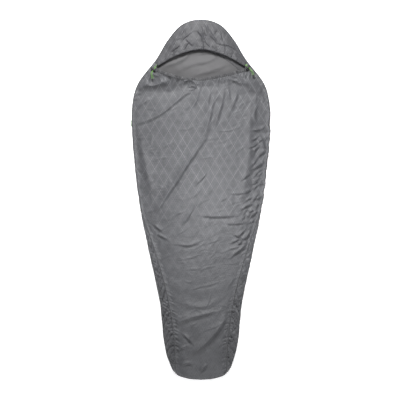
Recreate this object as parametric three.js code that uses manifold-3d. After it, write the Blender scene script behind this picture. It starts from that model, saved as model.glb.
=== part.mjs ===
// A mummy sleeping bag of thin, unpadded woven cloth, lying flat with its foot towards -Y and its hood
// towards +Y. Millimetres, +Z up, origin on the floor under the middle of the bag.
// Left and right are the -X and +X sides.
import * as THREE from "three";
import { mergeVertices } from "three/addons/utils/BufferGeometryUtils.js";
import Module from "manifold-3d";

const wasm = await Module();
wasm.setup();

// ---- driving dimensions ----
const LENGTH = 2100; // foot end to hood top
const HALF_WIDTH = 402; // of the cloth at the shoulders
const CLOTH = 2; // thickness that stands for the cloth
const FLANGE_WIDTH = 42; // the back panel turns up towards its edge seam
const FLANGE_RISE = 9;
const EDGE_Z = FLANGE_RISE + CLOTH + 0.5; // underside of the upper panels at the edge seam
const EDGE_INSET = 2.5; // panels stop short of the outline, and the seam runs outside it
const BODY_LOFT = 44; // how high the front panel lies over the floor
const FOOT_LOFT = 18; // extra height over the feet
const CHEST_DROP = 12; // the chest edge lies lower than the body
const CROWN_LOFT = 33; // of the hood crown over the edge seam
const CROWN_POWER = 3.2; // how square the panels' cross-sections are
const GUSSET_START = 971; // where the side panels begin, measured from the foot end
const GUSSET_HEIGHT = 33; // of the side panels' upper seam over the edge seam, at the feet
const HEM_WIDTH = 16;
const HEM_THICKNESS = 6;
const HEM_GAP = 2.2; // between a hem and its panel
const MOUTH_CORNER = 256; // half width of the face opening
const HEM_BORE = 4.4;
const CORD = 2.8; // drawcord diameter
const LOOP_CORD = 3;
const SMALL_LOOP_CORD = 1.8;

const grey = new THREE.MeshStandardMaterial({ color: 0x85858a, roughness: 0.75, metalness: 0 });
const greyInside = new THREE.MeshStandardMaterial({ color: 0x848284, roughness: 0.8, metalness: 0 });
const threadGrey = new THREE.MeshStandardMaterial({ color: 0x55565b, roughness: 0.8, metalness: 0 });
const green = new THREE.MeshStandardMaterial({ color: 0x5f9a3c, roughness: 0.7, metalness: 0 });
const paleGreen = new THREE.MeshStandardMaterial({ color: 0x9aa886, roughness: 0.7, metalness: 0 });
const elastic = new THREE.MeshStandardMaterial({ color: 0x2b2c2e, roughness: 0.8, metalness: 0 });
const black = new THREE.MeshStandardMaterial({ color: 0x17191b, roughness: 0.45, metalness: 0 });
const steel = new THREE.MeshStandardMaterial({ color: 0xb4b6b8, roughness: 0.35, metalness: 1 });

const bag = new THREE.Group();

function addMesh(name, geometry, material, parent = bag) {
  const mesh = new THREE.Mesh(geometry, material);
  mesh.name = name;
  parent.add(mesh);
  return mesh;
}

// ---- outline ----
// Right half of the outline, as (half width, distance from the foot end).
const outlinePoints = [
  [0, 0],
  [80, 8],
  [150, 38],
  [192, 125],
  [216, 245],
  [236, 440],
  [300, 745],
  [355, 1020],
  [389, 1304],
  [HALF_WIDTH, 1500],
  [394, 1640],
  [366, 1728],
  [262, 1866],
  [236, 1908],
  [193, 1980],
  [120, 2064],
  [52, 2095],
  [0, LENGTH],
].map(([x, y]) => new THREE.Vector3(x, y, 0));
const outline = new THREE.CatmullRomCurve3(outlinePoints, false, "centripetal").getSpacedPoints(240);

// Linear interpolation of outline[to] where outline[from] is value.
function alongOutline(points, from, to, value) {
  const i = points.findIndex((p, k) => k > 0 && (p[from] - value) * (points[k - 1][from] - value) <= 0);
  const [a, b] = [points[i - 1], points[i]];
  return a[to] + ((b[to] - a[to]) * (value - a[from])) / (b[from] - a[from] || 1);
}
const halfWidth = (y) => alongOutline(outline, "y", "x", THREE.MathUtils.clamp(y, 0.5, LENGTH - 0.2));
// The same a little further in, for the panels' edges.
const inset = outline.map((p, i) => {
  const along = outline[Math.min(i + 1, outline.length - 1)].clone().sub(outline[Math.max(i - 1, 0)]).normalize();
  return new THREE.Vector3(p.x - along.y * EDGE_INSET, p.y + along.x * EDGE_INSET, 0);
});
const clothHalfWidth = (y) => alongOutline(inset, "y", "x", y);
const footArc = outline.filter((p) => p.x < 170 && p.y < 90);
const footEdge = (x) => alongOutline(footArc, "x", "y", THREE.MathUtils.clamp(Math.abs(x), 0.5, 150));

function distanceToEdge(x, y) {
  return Math.min(...outline.map((p) => Math.hypot(p.x - Math.abs(x), p.y - y)));
}

// Half width of the front panel, which is narrower than the outline where the side panels show.
const gussetSeam = new THREE.CatmullRomCurve3(
  [
    [146, 40],
    [160, 277],
    [190, 464],
    [252, 697],
    [clothHalfWidth(GUSSET_START), GUSSET_START],
  ].map(([x, y]) => new THREE.Vector3(x, y, 0)),
).getSpacedPoints(80);
function frontHalfWidth(y) {
  if (y >= GUSSET_START) return clothHalfWidth(y);
  return alongOutline(gussetSeam, "y", "x", Math.max(y, 41));
}

// ---- heights ----
const smooth = (from, to, value) => THREE.MathUtils.smoothstep(value, from, to);
const seamHeight = (y) => EDGE_Z + GUSSET_HEIGHT * (1 - smooth(GUSSET_START - 700, GUSSET_START, y));
const flangeHeight = (x, y) => FLANGE_RISE * Math.max(0, 1 - distanceToEdge(x, y) / (FLANGE_WIDTH - 12));

function frontHeight(x, y) {
  const middle = BODY_LOFT + FOOT_LOFT * Math.exp(-(((y - 180) / 240) ** 2)) - CHEST_DROP * smooth(1500, 1744, y);
  const share = Math.min(1, Math.abs(x) / frontHalfWidth(y));
  const toFoot = 1 - Math.max(0, 1 - (y - footEdge(x)) / 130) ** 2.5;
  return seamHeight(y) + (middle - seamHeight(y)) * (1 - share ** CROWN_POWER) * toFoot;
}

function crownHeight(x, y) {
  const share = Math.min(1, Math.abs(x) / halfWidth(y));
  const toTop = 1 - Math.max(0, (y - 1850) / (LENGTH - 1850)) ** 2.2;
  return EDGE_Z + CROWN_LOFT * toTop * (1 - share ** CROWN_POWER);
}

// ---- the two edges of the face opening: the middles of their hems ----
const rimShare = (x) => Math.min(1, Math.abs(x) / MOUTH_CORNER);
const rimLine = (x) => 1940 - 102 * rimShare(x) ** 1.7;
const chestLine = (x) => 1744 + 59 * rimShare(x) ** 1.6;
// A panel's edge, beside a hem whose middle runs along line.
function besideHem(line, x, side) {
  const at = Math.min(Math.abs(x), MOUTH_CORNER - 1);
  const slope = line(at + 1) - line(at);
  return line(at) + side * (HEM_WIDTH / 2 + HEM_GAP) * Math.hypot(1, slope);
}
// The seam between the back panel and the hood's back, seen through the face opening.
const neckSeam = (x) => Math.max(1908 - 88 * (x / 239) ** 2, 1786);

// ---- building blocks ----
function fromTriangles(points, index) {
  const geometry = new THREE.BufferGeometry();
  geometry.setAttribute("position", new THREE.Float32BufferAttribute(points.flatMap((p) => p.toArray()), 3));
  geometry.setIndex(index);
  return geometry;
}

// A closed shell between two grids of points: rows along the first index, columns along the second.
// The upper grid is on the side that columns-cross-rows points to.
function shell(lower, upper) {
  const rows = lower.length;
  const columns = lower[0].length;
  const low = (i, j) => i * columns + j;
  const high = (i, j) => rows * columns + i * columns + j;
  const index = [];
  const quad = (a, b, c, d) => index.push(a, b, c, a, c, d);
  for (let i = 0; i < rows - 1; i++)
    for (let j = 0; j < columns - 1; j++) {
      quad(high(i, j), high(i, j + 1), high(i + 1, j + 1), high(i + 1, j));
      quad(low(i, j), low(i + 1, j), low(i + 1, j + 1), low(i, j + 1));
    }
  for (let j = 0; j < columns - 1; j++) {
    quad(low(0, j), low(0, j + 1), high(0, j + 1), high(0, j));
    quad(low(rows - 1, j + 1), low(rows - 1, j), high(rows - 1, j), high(rows - 1, j + 1));
  }
  for (let i = 0; i < rows - 1; i++) {
    quad(low(i + 1, 0), low(i, 0), high(i, 0), high(i + 1, 0));
    quad(low(i, columns - 1), low(i + 1, columns - 1), high(i + 1, columns - 1), high(i, columns - 1));
  }
  return fromTriangles([...lower.flat(), ...upper.flat()], index);
}

// A panel of cloth: bottom(i, j) gives a point of its underside, and the cloth's thickness goes upwards.
function panel(rows, columns, bottom) {
  const lower = Array.from({ length: rows }, (_, i) => Array.from({ length: columns }, (_, j) => bottom(i, j)));
  return shell(lower, lower.map((row) => row.map((p) => p.clone().setZ(p.z + CLOTH))));
}

const share = (i, count) => i / (count - 1);
const fromMiddle = (y) => y - LENGTH / 2; // from distance-from-foot to the part's own Y
// Closer together towards both ends, and a little closer.
const eased = (t) => (1 - Math.cos(Math.PI * t)) / 2;
const halfEased = (t) => (t + eased(t)) / 2;

// Where a row meets a column, when the row's distance from the foot depends on x and the column on y.
function meet(rowY, columnX) {
  let y = rowY(0);
  for (let pass = 0; pass < 40; pass++) y = rowY(columnX(y));
  return [columnX(y), y];
}

// Columns across a row of a back panel: both edges, both flange feet, and evenly between.
function backColumn(j, columns, width) {
  const inner = Math.max(width - FLANGE_WIDTH, width * 0.3);
  if (j === 0) return -width;
  if (j === columns - 1) return width;
  return -inner + 2 * inner * share(j - 1, columns - 2);
}

function backPiece(rows, columns, start, end, rowShare) {
  return panel(rows, columns, (i, j) => {
    const [x, y] = meet(
      (atX) => THREE.MathUtils.lerp(start(atX), end(atX), rowShare(share(i, rows))),
      (atY) => backColumn(j, columns, clothHalfWidth(atY)),
    );
    return new THREE.Vector3(x, fromMiddle(y), flangeHeight(x, y));
  });
}

// A bar of rectangular section along a line of points: width along side(i), height upwards from the line.
function bar(points, width, height, side) {
  const edge = (p, i, k) => p.clone().addScaledVector(side(i), (k - 0.5) * width);
  const lower = points.map((p, i) => [edge(p, i, 0), edge(p, i, 1)]);
  return shell(lower, lower.map((row) => row.map((p) => p.clone().setZ(p.z + height))));
}

// The horizontal direction to the right of a line of points, at each of them.
function rightOf(points) {
  return (i) => {
    const along = points[Math.min(i + 1, points.length - 1)].clone().sub(points[Math.max(i - 1, 0)]);
    return new THREE.Vector3(along.y, -along.x, 0).normalize();
  };
}

function roundBar(points, radius, sides, steps) {
  const circle = new THREE.Shape(
    Array.from({ length: sides }, (_, k) => {
      const angle = (2 * Math.PI * k) / sides;
      return new THREE.Vector2(radius * Math.cos(angle), radius * Math.sin(angle));
    }),
  );
  const path = new THREE.CatmullRomCurve3(points, false, "centripetal");
  return new THREE.ExtrudeGeometry(circle, { steps, extrudePath: path });
}

// ---- cloth panels ----
const lerpY = (i, rows, start, end) => THREE.MathUtils.lerp(start, end, share(i, rows));
// Columns across a front panel, closer together towards its edges, from -1 to 1.
const COLUMN_TURN = 0.43 * Math.PI;
const frontColumn = (j, columns) => Math.sin(COLUMN_TURN * (2 * share(j, columns) - 1)) / Math.sin(COLUMN_TURN);
const END_INSET = 6; // at the foot end and at the hood's top
const FOOT_INSET = 8; // of the front panel, behind its seam to the foot panel

const backPanel = backPiece(25, 10, () => END_INSET, (x) => neckSeam(x) - 0.4, eased);
addMesh("back_panel", backPanel, greyInside);
const towardsEnd = (t) => Math.sin((t * Math.PI) / 2);
const hoodBack = backPiece(9, 10, (x) => neckSeam(x) + 0.4, () => LENGTH - END_INSET, towardsEnd);
addMesh("hood_back", hoodBack, greyInside);

const frontPanel = panel(22, 13, (i, j) => {
  const across = frontColumn(j, 13);
  const rowShare = halfEased(share(i, 22));
  const footEnd = (x) => footEdge(Math.min(Math.abs(x), 146)) + FOOT_INSET;
  const [x, y] = meet(
    (atX) => THREE.MathUtils.lerp(footEnd(atX), besideHem(chestLine, atX, -1), rowShare),
    (atY) => across * frontHalfWidth(atY),
  );
  return new THREE.Vector3(x, fromMiddle(y), frontHeight(x, y));
});
addMesh("front_panel", frontPanel, grey);

const hoodCrown = panel(9, 13, (i, j) => {
  const across = frontColumn(j, 13);
  const rowShare = towardsEnd(share(i, 9));
  const [x, y] = meet(
    (atX) => THREE.MathUtils.lerp(besideHem(rimLine, atX, 1), LENGTH - END_INSET, rowShare),
    (atY) => across * clothHalfWidth(atY),
  );
  return new THREE.Vector3(x, fromMiddle(y), crownHeight(x, y));
});
addMesh("hood_crown", hoodCrown, grey);

// Side panels: from the outline up to the front panel's edge, thick along their own normal.
function sidePanel(side) {
  const rows = 13;
  const columns = 4;
  const lower = [];
  const upper = [];
  for (let i = 0; i < rows; i++) {
    const y = lerpY(i, rows, 46, GUSSET_START - 12);
    const outer = new THREE.Vector3(clothHalfWidth(y), fromMiddle(y), EDGE_Z);
    const inner = new THREE.Vector3(frontHalfWidth(y) + 2, fromMiddle(y), Math.max(seamHeight(y) - 1, EDGE_Z + 1));
    const normal = new THREE.Vector3(inner.z - outer.z, 0, Math.max(outer.x - inner.x, 1)).normalize();
    const line = Array.from({ length: columns }, (_, j) => inner.clone().lerp(outer, share(j, columns)));
    const out = line.map((p) => p.clone().addScaledVector(normal, CLOTH));
    const mirror = (p) => new THREE.Vector3(side * p.x, p.y, p.z);
    lower.push(side > 0 ? line : line.map(mirror).reverse());
    upper.push(side > 0 ? out : out.map(mirror).reverse());
  }
  return shell(lower, upper);
}
addMesh("side_panel_left", sidePanel(-1), grey);
addMesh("side_panel_right", sidePanel(1), grey);

// Foot panel: the end wall between the side panels, thick towards the foot end.
function footPanel() {
  const rows = 4;
  const columns = 11;
  const lower = [];
  for (let i = 0; i < rows; i++) {
    lower.push(
      Array.from({ length: columns }, (_, j) => {
        const x = 144 * (-1 + 2 * share(j, columns));
        const y = footEdge(x) + EDGE_INSET + CLOTH + 2.5 * share(i, rows);
        return new THREE.Vector3(x, fromMiddle(y), THREE.MathUtils.lerp(EDGE_Z, seamHeight(0) - 0.6, share(i, rows)));
      }),
    );
  }
  return shell(lower, lower.map((row) => row.map((p) => p.clone().setY(p.y - CLOTH))));
}
addMesh("foot_panel", footPanel(), grey);

// ---- hems, each a flat tube with its cord inside ----
function hemPath(line, height) {
  const count = 25;
  return Array.from({ length: count }, (_, i) => {
    const x = MOUTH_CORNER * (-1 + 2 * share(i, count));
    return new THREE.Vector3(x, fromMiddle(line(x)), height(x, line(x)) + CLOTH / 2);
  });
}

// Points of an oval ring around each point of a hem's path.
function ovalRings(points, across, up, sides) {
  const right = rightOf(points);
  return points.map((p, i) =>
    Array.from({ length: sides }, (_, k) => {
      const angle = (2 * Math.PI * k) / sides;
      const q = p.clone().addScaledVector(right(i), -across * Math.cos(angle));
      return q.setZ(q.z + up * Math.sin(angle));
    }),
  );
}

// A tube of oval section with a round bore.
function hemTube(path) {
  const sides = 8;
  const outer = ovalRings(path, HEM_WIDTH / 2, HEM_THICKNESS / 2, sides);
  const inner = ovalRings(path, HEM_BORE / 2, HEM_BORE / 2, sides);
  const last = path.length - 1;
  const at = (i, isInner, k) => (isInner * path.length + i) * sides + (k % sides);
  const index = [];
  const quad = (a, b, c, d) => index.push(a, b, c, a, c, d);
  for (let k = 0; k < sides; k++) {
    for (let i = 0; i < last; i++) {
      quad(at(i, 0, k), at(i, 0, k + 1), at(i + 1, 0, k + 1), at(i + 1, 0, k));
      quad(at(i, 1, k), at(i + 1, 1, k), at(i + 1, 1, k + 1), at(i, 1, k + 1));
    }
    quad(at(0, 0, k), at(0, 1, k), at(0, 1, k + 1), at(0, 0, k + 1));
    quad(at(last, 0, k), at(last, 0, k + 1), at(last, 1, k + 1), at(last, 1, k));
  }
  return fromTriangles([...outer.flat(), ...inner.flat()], index);
}

const hoodHemPath = hemPath(rimLine, crownHeight);
const chestHemPath = hemPath(chestLine, frontHeight);
addMesh("hood_hem", hemTube(hoodHemPath), grey);
addMesh("chest_hem", hemTube(chestHemPath), grey);

// The cord inside a hem, as a tube along the hem's own points.
function hemCord(path) {
  const sides = 6;
  const rings = ovalRings(path, CORD / 2, CORD / 2, sides);
  const last = rings.length - 1;
  const at = (i, k) => i * sides + (k % sides);
  const index = [];
  for (let i = 0; i < last; i++)
    for (let k = 0; k < sides; k++)
      index.push(at(i, k), at(i, k + 1), at(i + 1, k + 1), at(i, k), at(i + 1, k + 1), at(i + 1, k));
  for (let k = 1; k < sides - 1; k++) {
    index.push(at(0, 0), at(0, k + 1), at(0, k));
    index.push(at(last, 0), at(last, k), at(last, k + 1));
  }
  return fromTriangles(rings.flat(), index);
}
addMesh("hood_drawcord", hemCord(hoodHemPath), green);
addMesh("chest_elastic", hemCord(chestHemPath), elastic);

// ---- corner tabs: the patches that close the opening's corners ----
function cornerTab(side) {
  const rows = 4;
  const columns = 3;
  const start = besideHem(chestLine, MOUTH_CORNER, -1) + 2;
  const end = besideHem(rimLine, MOUTH_CORNER, 1) - 2;
  return panel(rows, columns, (i, j) => {
    const y = lerpY(i, rows, start, end);
    const inner = MOUTH_CORNER + 3;
    const column = side > 0 ? j : columns - 1 - j;
    const x = THREE.MathUtils.lerp(inner, clothHalfWidth(y), share(column, columns));
    return new THREE.Vector3(side * x, fromMiddle(y), EDGE_Z + 2 * (1 - share(column, columns)));
  });
}
addMesh("corner_tab_left", cornerTab(-1), grey);
addMesh("corner_tab_right", cornerTab(1), grey);

// ---- seams ----
const SEAM_WIDTH = 3;
const SEAM_HEIGHT = 6;

// Along the outline, just outside it, between two distances from the foot end.
function outlineSeam(side, from, to, step = 4) {
  const stretch = outline.filter((p, i) => p.y >= from && p.y <= to && i % step === 0);
  const points = stretch.map((p) => new THREE.Vector3(side * p.x, fromMiddle(p.y), EDGE_Z - 3));
  return side > 0 ? points : points.reverse();
}
function edgeSeam(points) {
  // The outline runs with the bag on its left, so the seam is moved to the right of it.
  const right = rightOf(points);
  const moved = points.map((p, i) => p.clone().addScaledVector(right(i), 0.4 + SEAM_WIDTH / 2));
  return bar(moved.reverse(), SEAM_WIDTH, SEAM_HEIGHT, rightOf(moved));
}
const SHOULDER = 1819;
addMesh("side_seam_right", edgeSeam(outlineSeam(1, GUSSET_START, SHOULDER)), threadGrey);
addMesh("side_seam_left", edgeSeam(outlineSeam(-1, GUSSET_START, SHOULDER)), threadGrey);
addMesh("gusset_base_seam_right", edgeSeam(outlineSeam(1, 46, GUSSET_START - 12)), threadGrey);
addMesh("gusset_base_seam_left", edgeSeam(outlineSeam(-1, 46, GUSSET_START - 12)), threadGrey);
const hoodEdge = [...outlineSeam(1, SHOULDER + 8, LENGTH - 1), ...outlineSeam(-1, SHOULDER + 8, LENGTH - 1)];
addMesh("hood_edge_seam", edgeSeam(hoodEdge), threadGrey);
const footEdgeLine = [...outlineSeam(-1, 0.2, 38, 3), ...outlineSeam(1, 0.2, 38, 3)];
addMesh("foot_base_seam", edgeSeam(footEdgeLine), threadGrey);

// The side panels' upper seams lie on top of the front panel's edge.
const TOP_SEAM_HEIGHT = 1.6;
function gussetTopSeam(side) {
  const count = 17;
  const points = Array.from({ length: count }, (_, i) => {
    const y = lerpY(i, count, 60, GUSSET_START - 14);
    return new THREE.Vector3(side * (frontHalfWidth(y) + 1), fromMiddle(y), seamHeight(y) + CLOTH + 0.9);
  });
  return bar(points, SEAM_WIDTH, TOP_SEAM_HEIGHT, () => new THREE.Vector3(1, 0, 0));
}
addMesh("gusset_top_seam_left", gussetTopSeam(-1), threadGrey);
addMesh("gusset_top_seam_right", gussetTopSeam(1), threadGrey);

function footTopSeam() {
  const count = 13;
  const points = Array.from({ length: count }, (_, i) => {
    const x = 136 * (1 - 2 * share(i, count));
    return new THREE.Vector3(x, fromMiddle(footEdge(x) + FOOT_INSET - 2.6), seamHeight(0) + 1);
  });
  return bar(points, SEAM_WIDTH, TOP_SEAM_HEIGHT, rightOf(points));
}
addMesh("foot_top_seam", footTopSeam(), threadGrey);

function neckSeamBar() {
  const count = 15;
  const points = Array.from({ length: count }, (_, i) => {
    const x = 236 * (1 - 2 * share(i, count));
    return new THREE.Vector3(x, fromMiddle(neckSeam(x)), CLOTH + 0.4);
  });
  return bar(points, 4, 1.2, rightOf(points));
}
addMesh("neck_seam", neckSeamBar(), threadGrey);

// ---- drawcord locks ----
// A lock's own frame: +X along the barrel towards its button, -Y along the cord's strands to their tails, +Z up.
const BARREL_RADIUS = 7;
const BARREL_LENGTH = 24;
const BARREL_WALL = 2;
const CAVITY_RADIUS = 5;
const PLUNGER_RADIUS = 4.6;
const BUTTON_RADIUS = 5.8;
const BUTTON_HEIGHT = 4.5;
const BUTTON_TRAVEL = 2.5;
const STRAND_SPACING = 3.5; // between the two strands' middles
const BORE_HEIGHT = 4.2;
const BORE_WIDTH = 7.1;
const PLUNGER_END = 1.8; // solid end of the plunger, beyond its opening
const SPRING_RADIUS = 3.3;
const SPRING_WIRE = 0.5;
const SPRING_TURNS = 2;

function solidOf(geometry) {
  const plain = geometry.clone();
  plain.deleteAttribute("normal");
  plain.deleteAttribute("uv");
  const merged = mergeVertices(plain, 1e-4);
  return new wasm.Manifold(
    new wasm.Mesh({
      numProp: 3,
      vertProperties: merged.attributes.position.array,
      triVerts: new Uint32Array(merged.index.array),
    }),
  );
}

function geometryOf(solid) {
  const mesh = solid.getMesh();
  const geometry = new THREE.BufferGeometry();
  geometry.setAttribute("position", new THREE.BufferAttribute(new Float32Array(mesh.vertProperties), 3));
  geometry.setIndex(new THREE.BufferAttribute(new Uint32Array(mesh.triVerts), 1));
  return geometry;
}

// A solid turned about the X axis, from (distance along X, radius) points.
function turnedAlongX(profile, segments = 20) {
  const geometry = new THREE.LatheGeometry(profile.map(([x, r]) => new THREE.Vector2(r, x)), segments);
  return geometry.rotateZ(-Math.PI / 2);
}

// A slot along Y with round ends, width along X and height along Z.
function slot(width, height, length) {
  const radius = height / 2;
  const shape = new THREE.Shape();
  shape.absarc(width / 2 - radius, 0, radius, -Math.PI / 2, Math.PI / 2);
  shape.absarc(-(width / 2 - radius), 0, radius, Math.PI / 2, (3 * Math.PI) / 2);
  const geometry = new THREE.ExtrudeGeometry(shape, { depth: length, bevelEnabled: false, curveSegments: 5 });
  return geometry.translate(0, 0, -length / 2).rotateX(Math.PI / 2);
}

function barrelGeometry() {
  const half = BARREL_LENGTH / 2;
  const body = turnedAlongX([
    [-half, 0],
    [-half, BARREL_RADIUS - 1.5],
    [-half + 1.5, BARREL_RADIUS],
    [half - 1, BARREL_RADIUS],
    [half, BARREL_RADIUS - 1],
    [half, CAVITY_RADIUS],
    [-half + BARREL_WALL, CAVITY_RADIUS],
    [-half + BARREL_WALL, 0],
  ]);
  return geometryOf(solidOf(body).subtract(solidOf(slot(BORE_WIDTH, BORE_HEIGHT, 3 * BARREL_RADIUS))));
}

const plungerInside = -BORE_WIDTH / 2 - PLUNGER_END;
function plungerGeometry() {
  const rim = BARREL_LENGTH / 2 + BUTTON_TRAVEL + 0.5;
  const body = turnedAlongX([
    [plungerInside, 0],
    [plungerInside, PLUNGER_RADIUS],
    [rim, PLUNGER_RADIUS],
    [rim, BUTTON_RADIUS],
    [rim + BUTTON_HEIGHT - 1, BUTTON_RADIUS],
    [rim + BUTTON_HEIGHT, BUTTON_RADIUS - 1.2],
    [rim + BUTTON_HEIGHT, 0],
  ]);
  // Longer than the barrel's bore by the button's travel: at rest its end presses on the cord, and when
  // the button is pressed it clears it.
  const opening = slot(BORE_WIDTH + BUTTON_TRAVEL, BORE_HEIGHT, 3 * BARREL_RADIUS).translate(BUTTON_TRAVEL / 2, 0, 0);
  return geometryOf(solidOf(body).subtract(solidOf(opening)));
}

// The spring takes only the room that is left when the button is pressed.
function springGeometry() {
  const start = -BARREL_LENGTH / 2 + BARREL_WALL + SPRING_WIRE;
  const length = plungerInside - BUTTON_TRAVEL - SPRING_WIRE - start;
  const count = SPRING_TURNS * 10;
  const points = Array.from({ length: count + 1 }, (_, i) => {
    const angle = (2 * Math.PI * SPRING_TURNS * i) / count;
    const x = start + (length * i) / count;
    return new THREE.Vector3(x, SPRING_RADIUS * Math.cos(angle), SPRING_RADIUS * Math.sin(angle));
  });
  return roundBar(points, SPRING_WIRE / 2, 5, count);
}

// A moulded tab that holds both strands: wide where they go in, with a narrow rounded tip towards -Y.
const CORD_END_LENGTH = 16;
const CORD_END_SPREAD = 4; // from the tab's middle to each strand
function cordEndGeometry() {
  const tip = 2.2;
  const half = CORD_END_SPREAD + 2;
  const shape = new THREE.Shape();
  shape.moveTo(-half, 0);
  shape.lineTo(-half, -3);
  shape.lineTo(-tip, -CORD_END_LENGTH + tip);
  shape.absarc(0, -CORD_END_LENGTH + tip, tip, Math.PI, 2 * Math.PI);
  shape.lineTo(half, -3);
  shape.lineTo(half, 0);
  const options = { depth: 3, bevelThickness: 0.7, bevelSize: 0.7, bevelSegments: 1, curveSegments: 6 };
  return new THREE.ExtrudeGeometry(shape, options).translate(0, -0.7, -1.5);
}

const TAIL_STRAIGHT = 18; // the strands run straight this far past the lock's middle, so that it can slide
const RING_HEIGHT = 15; // and this far before it

// One lock with its cord: place and the tail's end are in the bag's frame, and turn is the angle between
// the strands and the bag's length. The button is on the outer end of the left lock and the inner end of
// the right one.
function addLock(name, side, { place, turn, buttonOut, tailEnd, tailTurn }) {
  const lock = new THREE.Group();
  lock.position.copy(place);
  lock.rotation.z = side * turn;
  lock.scale.x = side * (buttonOut ? 1 : -1);
  bag.add(lock);
  addMesh(`lock_barrel_${name}`, barrelGeometry(), black, lock);
  addMesh(`lock_button_${name}`, plungerGeometry(), black, lock);
  addMesh(`lock_spring_${name}`, springGeometry(), steel, lock);

  // A point beside the strands' middle line, outwards of it when out is positive.
  const down = new THREE.Vector3(side * Math.sin(turn), -Math.cos(turn), 0);
  const outwards = new THREE.Vector3(side * Math.cos(turn), Math.sin(turn), 0);
  const atLock = (out, y) => place.clone().addScaledVector(outwards, out).addScaledVector(down, -y);
  const endDown = new THREE.Vector3(side * Math.sin(tailTurn), -Math.cos(tailTurn), 0);
  const endOutwards = new THREE.Vector3(side * Math.cos(tailTurn), Math.sin(tailTurn), 0);
  const tailLine = new THREE.CubicBezierCurve3(
    atLock(0, -TAIL_STRAIGHT),
    atLock(0, -TAIL_STRAIGHT - 12),
    tailEnd.clone().addScaledVector(endDown, -14),
    tailEnd,
  );
  const tail = (out) =>
    [0.15, 0.3, 0.45, 0.6, 0.75, 0.9, 1].map((t) => {
      const spread = THREE.MathUtils.lerp(STRAND_SPACING / 2, CORD_END_SPREAD, smooth(0, 0.6, t));
      const sideways = outwards.clone().lerp(endOutwards, t).normalize();
      return tailLine.getPoint(t).addScaledVector(sideways, out * spread);
    });
  const through = (out) => [12, 6, 0, -6, -12, -TAIL_STRAIGHT].map((y) => atLock((out * STRAND_SPACING) / 2, y));

  // One strand comes out of the hood hem's end, and the other is sewn to the corner tab.
  const hemEnd = hoodHemPath[side > 0 ? hoodHemPath.length - 1 : 0].clone();
  const alongHem = hemEnd.clone().sub(hoodHemPath[side > 0 ? hoodHemPath.length - 2 : 1]).normalize();
  const hoodStrand = [
    hemEnd.clone().addScaledVector(alongHem, 0.5),
    hemEnd.clone().addScaledVector(alongHem, 4),
    hemEnd.clone().addScaledVector(alongHem, 8).lerp(atLock(-3.4, RING_HEIGHT + 2), 0.45),
    atLock(-2.6, RING_HEIGHT + 1),
    ...through(-1),
    ...tail(-1),
  ];
  const sewnAt = new THREE.Vector3(side * (MOUTH_CORNER + 12), fromMiddle(1826), EDGE_Z + CLOTH + 2);
  const sewnStrand = [
    sewnAt,
    sewnAt.clone().setZ(sewnAt.z + 3),
    atLock(6.2, RING_HEIGHT + 3).setZ(sewnAt.z + 9),
    atLock(4.6, RING_HEIGHT),
    ...through(1),
    ...tail(1),
  ];
  addMesh(`hood_strand_${name}`, roundBar(hoodStrand, CORD / 2, 8, 28), green);
  addMesh(`sewn_strand_${name}`, roundBar(sewnStrand, CORD / 2, 8, 28), green);
  const end = addMesh(`cord_end_${name}`, cordEndGeometry(), black);
  end.position.copy(tailEnd).addScaledVector(endDown, 0.4);
  end.rotation.z = side * tailTurn;
}

const LOCK_Z = 29.5;
const TAIL_END_Z = 28.5;
const degrees = THREE.MathUtils.degToRad;
addLock("left", -1, {
  place: new THREE.Vector3(-276, fromMiddle(1808), LOCK_Z),
  turn: degrees(35),
  buttonOut: true,
  tailEnd: new THREE.Vector3(-283, fromMiddle(1756), TAIL_END_Z),
  tailTurn: degrees(-4),
});
addLock("right", 1, {
  place: new THREE.Vector3(275, fromMiddle(1823), LOCK_Z),
  turn: degrees(45),
  buttonOut: false,
  tailEnd: new THREE.Vector3(305, fromMiddle(1777), TAIL_END_Z),
  tailTurn: degrees(14),
});

// ---- tie loops under the edge seam, each held by a stitched tab ----
// A loop's outline as (share of its reach, share of its width), from one end to the other.
const loopHalf = [
  [0.3, 0.16],
  [0.24, 0.26],
  [0.36, 0.38],
  [0.56, 0.46],
  [0.78, 0.46],
  [0.93, 0.34],
  [0.99, 0.18],
];
const loopRoute = [...loopHalf, [1, 0], ...loopHalf.map(([out, along]) => [out, -along]).reverse()];
const TAB_INSET = 16; // from the bag's edge
const TAB_WIDTH = 3.4;

function tieLoop(name, side, at, reach, width, cord, material) {
  const tabX = halfWidth(at) - TAB_INSET;
  const start = tabX + TAB_WIDTH / 2 + 1;
  const points = [[0, 0.16], ...loopRoute, [0, -0.16]].map(
    ([out, along]) =>
      new THREE.Vector3(side * (start + reach * out), fromMiddle(at + width * along), cord / 2 + 0.4),
  );
  addMesh(`${name}_loop`, roundBar(points, cord / 2, 8, 26), material);
  const tabHeight = (FLANGE_RISE * (FLANGE_WIDTH - TAB_INSET - TAB_WIDTH)) / FLANGE_WIDTH - 1.2;
  const tab = new THREE.BoxGeometry(TAB_WIDTH, width * 0.5, tabHeight);
  tab.translate(side * tabX, fromMiddle(at), 0.4 + tabHeight / 2);
  addMesh(`${name}_loop_tab`, tab, threadGrey);
}
// On the left the loops lie out from the edge, and on the right they are folded under it.
tieLoop("shoulder_left", -1, 1496, 21, 38, LOOP_CORD, green);
tieLoop("shoulder_right", 1, 1496, 10, 38, LOOP_CORD, green);
tieLoop("hip_left", -1, 996, 28, 26, SMALL_LOOP_CORD, paleGreen);
tieLoop("hip_right", 1, 996, 10, 26, SMALL_LOOP_CORD, paleGreen);

export default bag;
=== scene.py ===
import math

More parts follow.
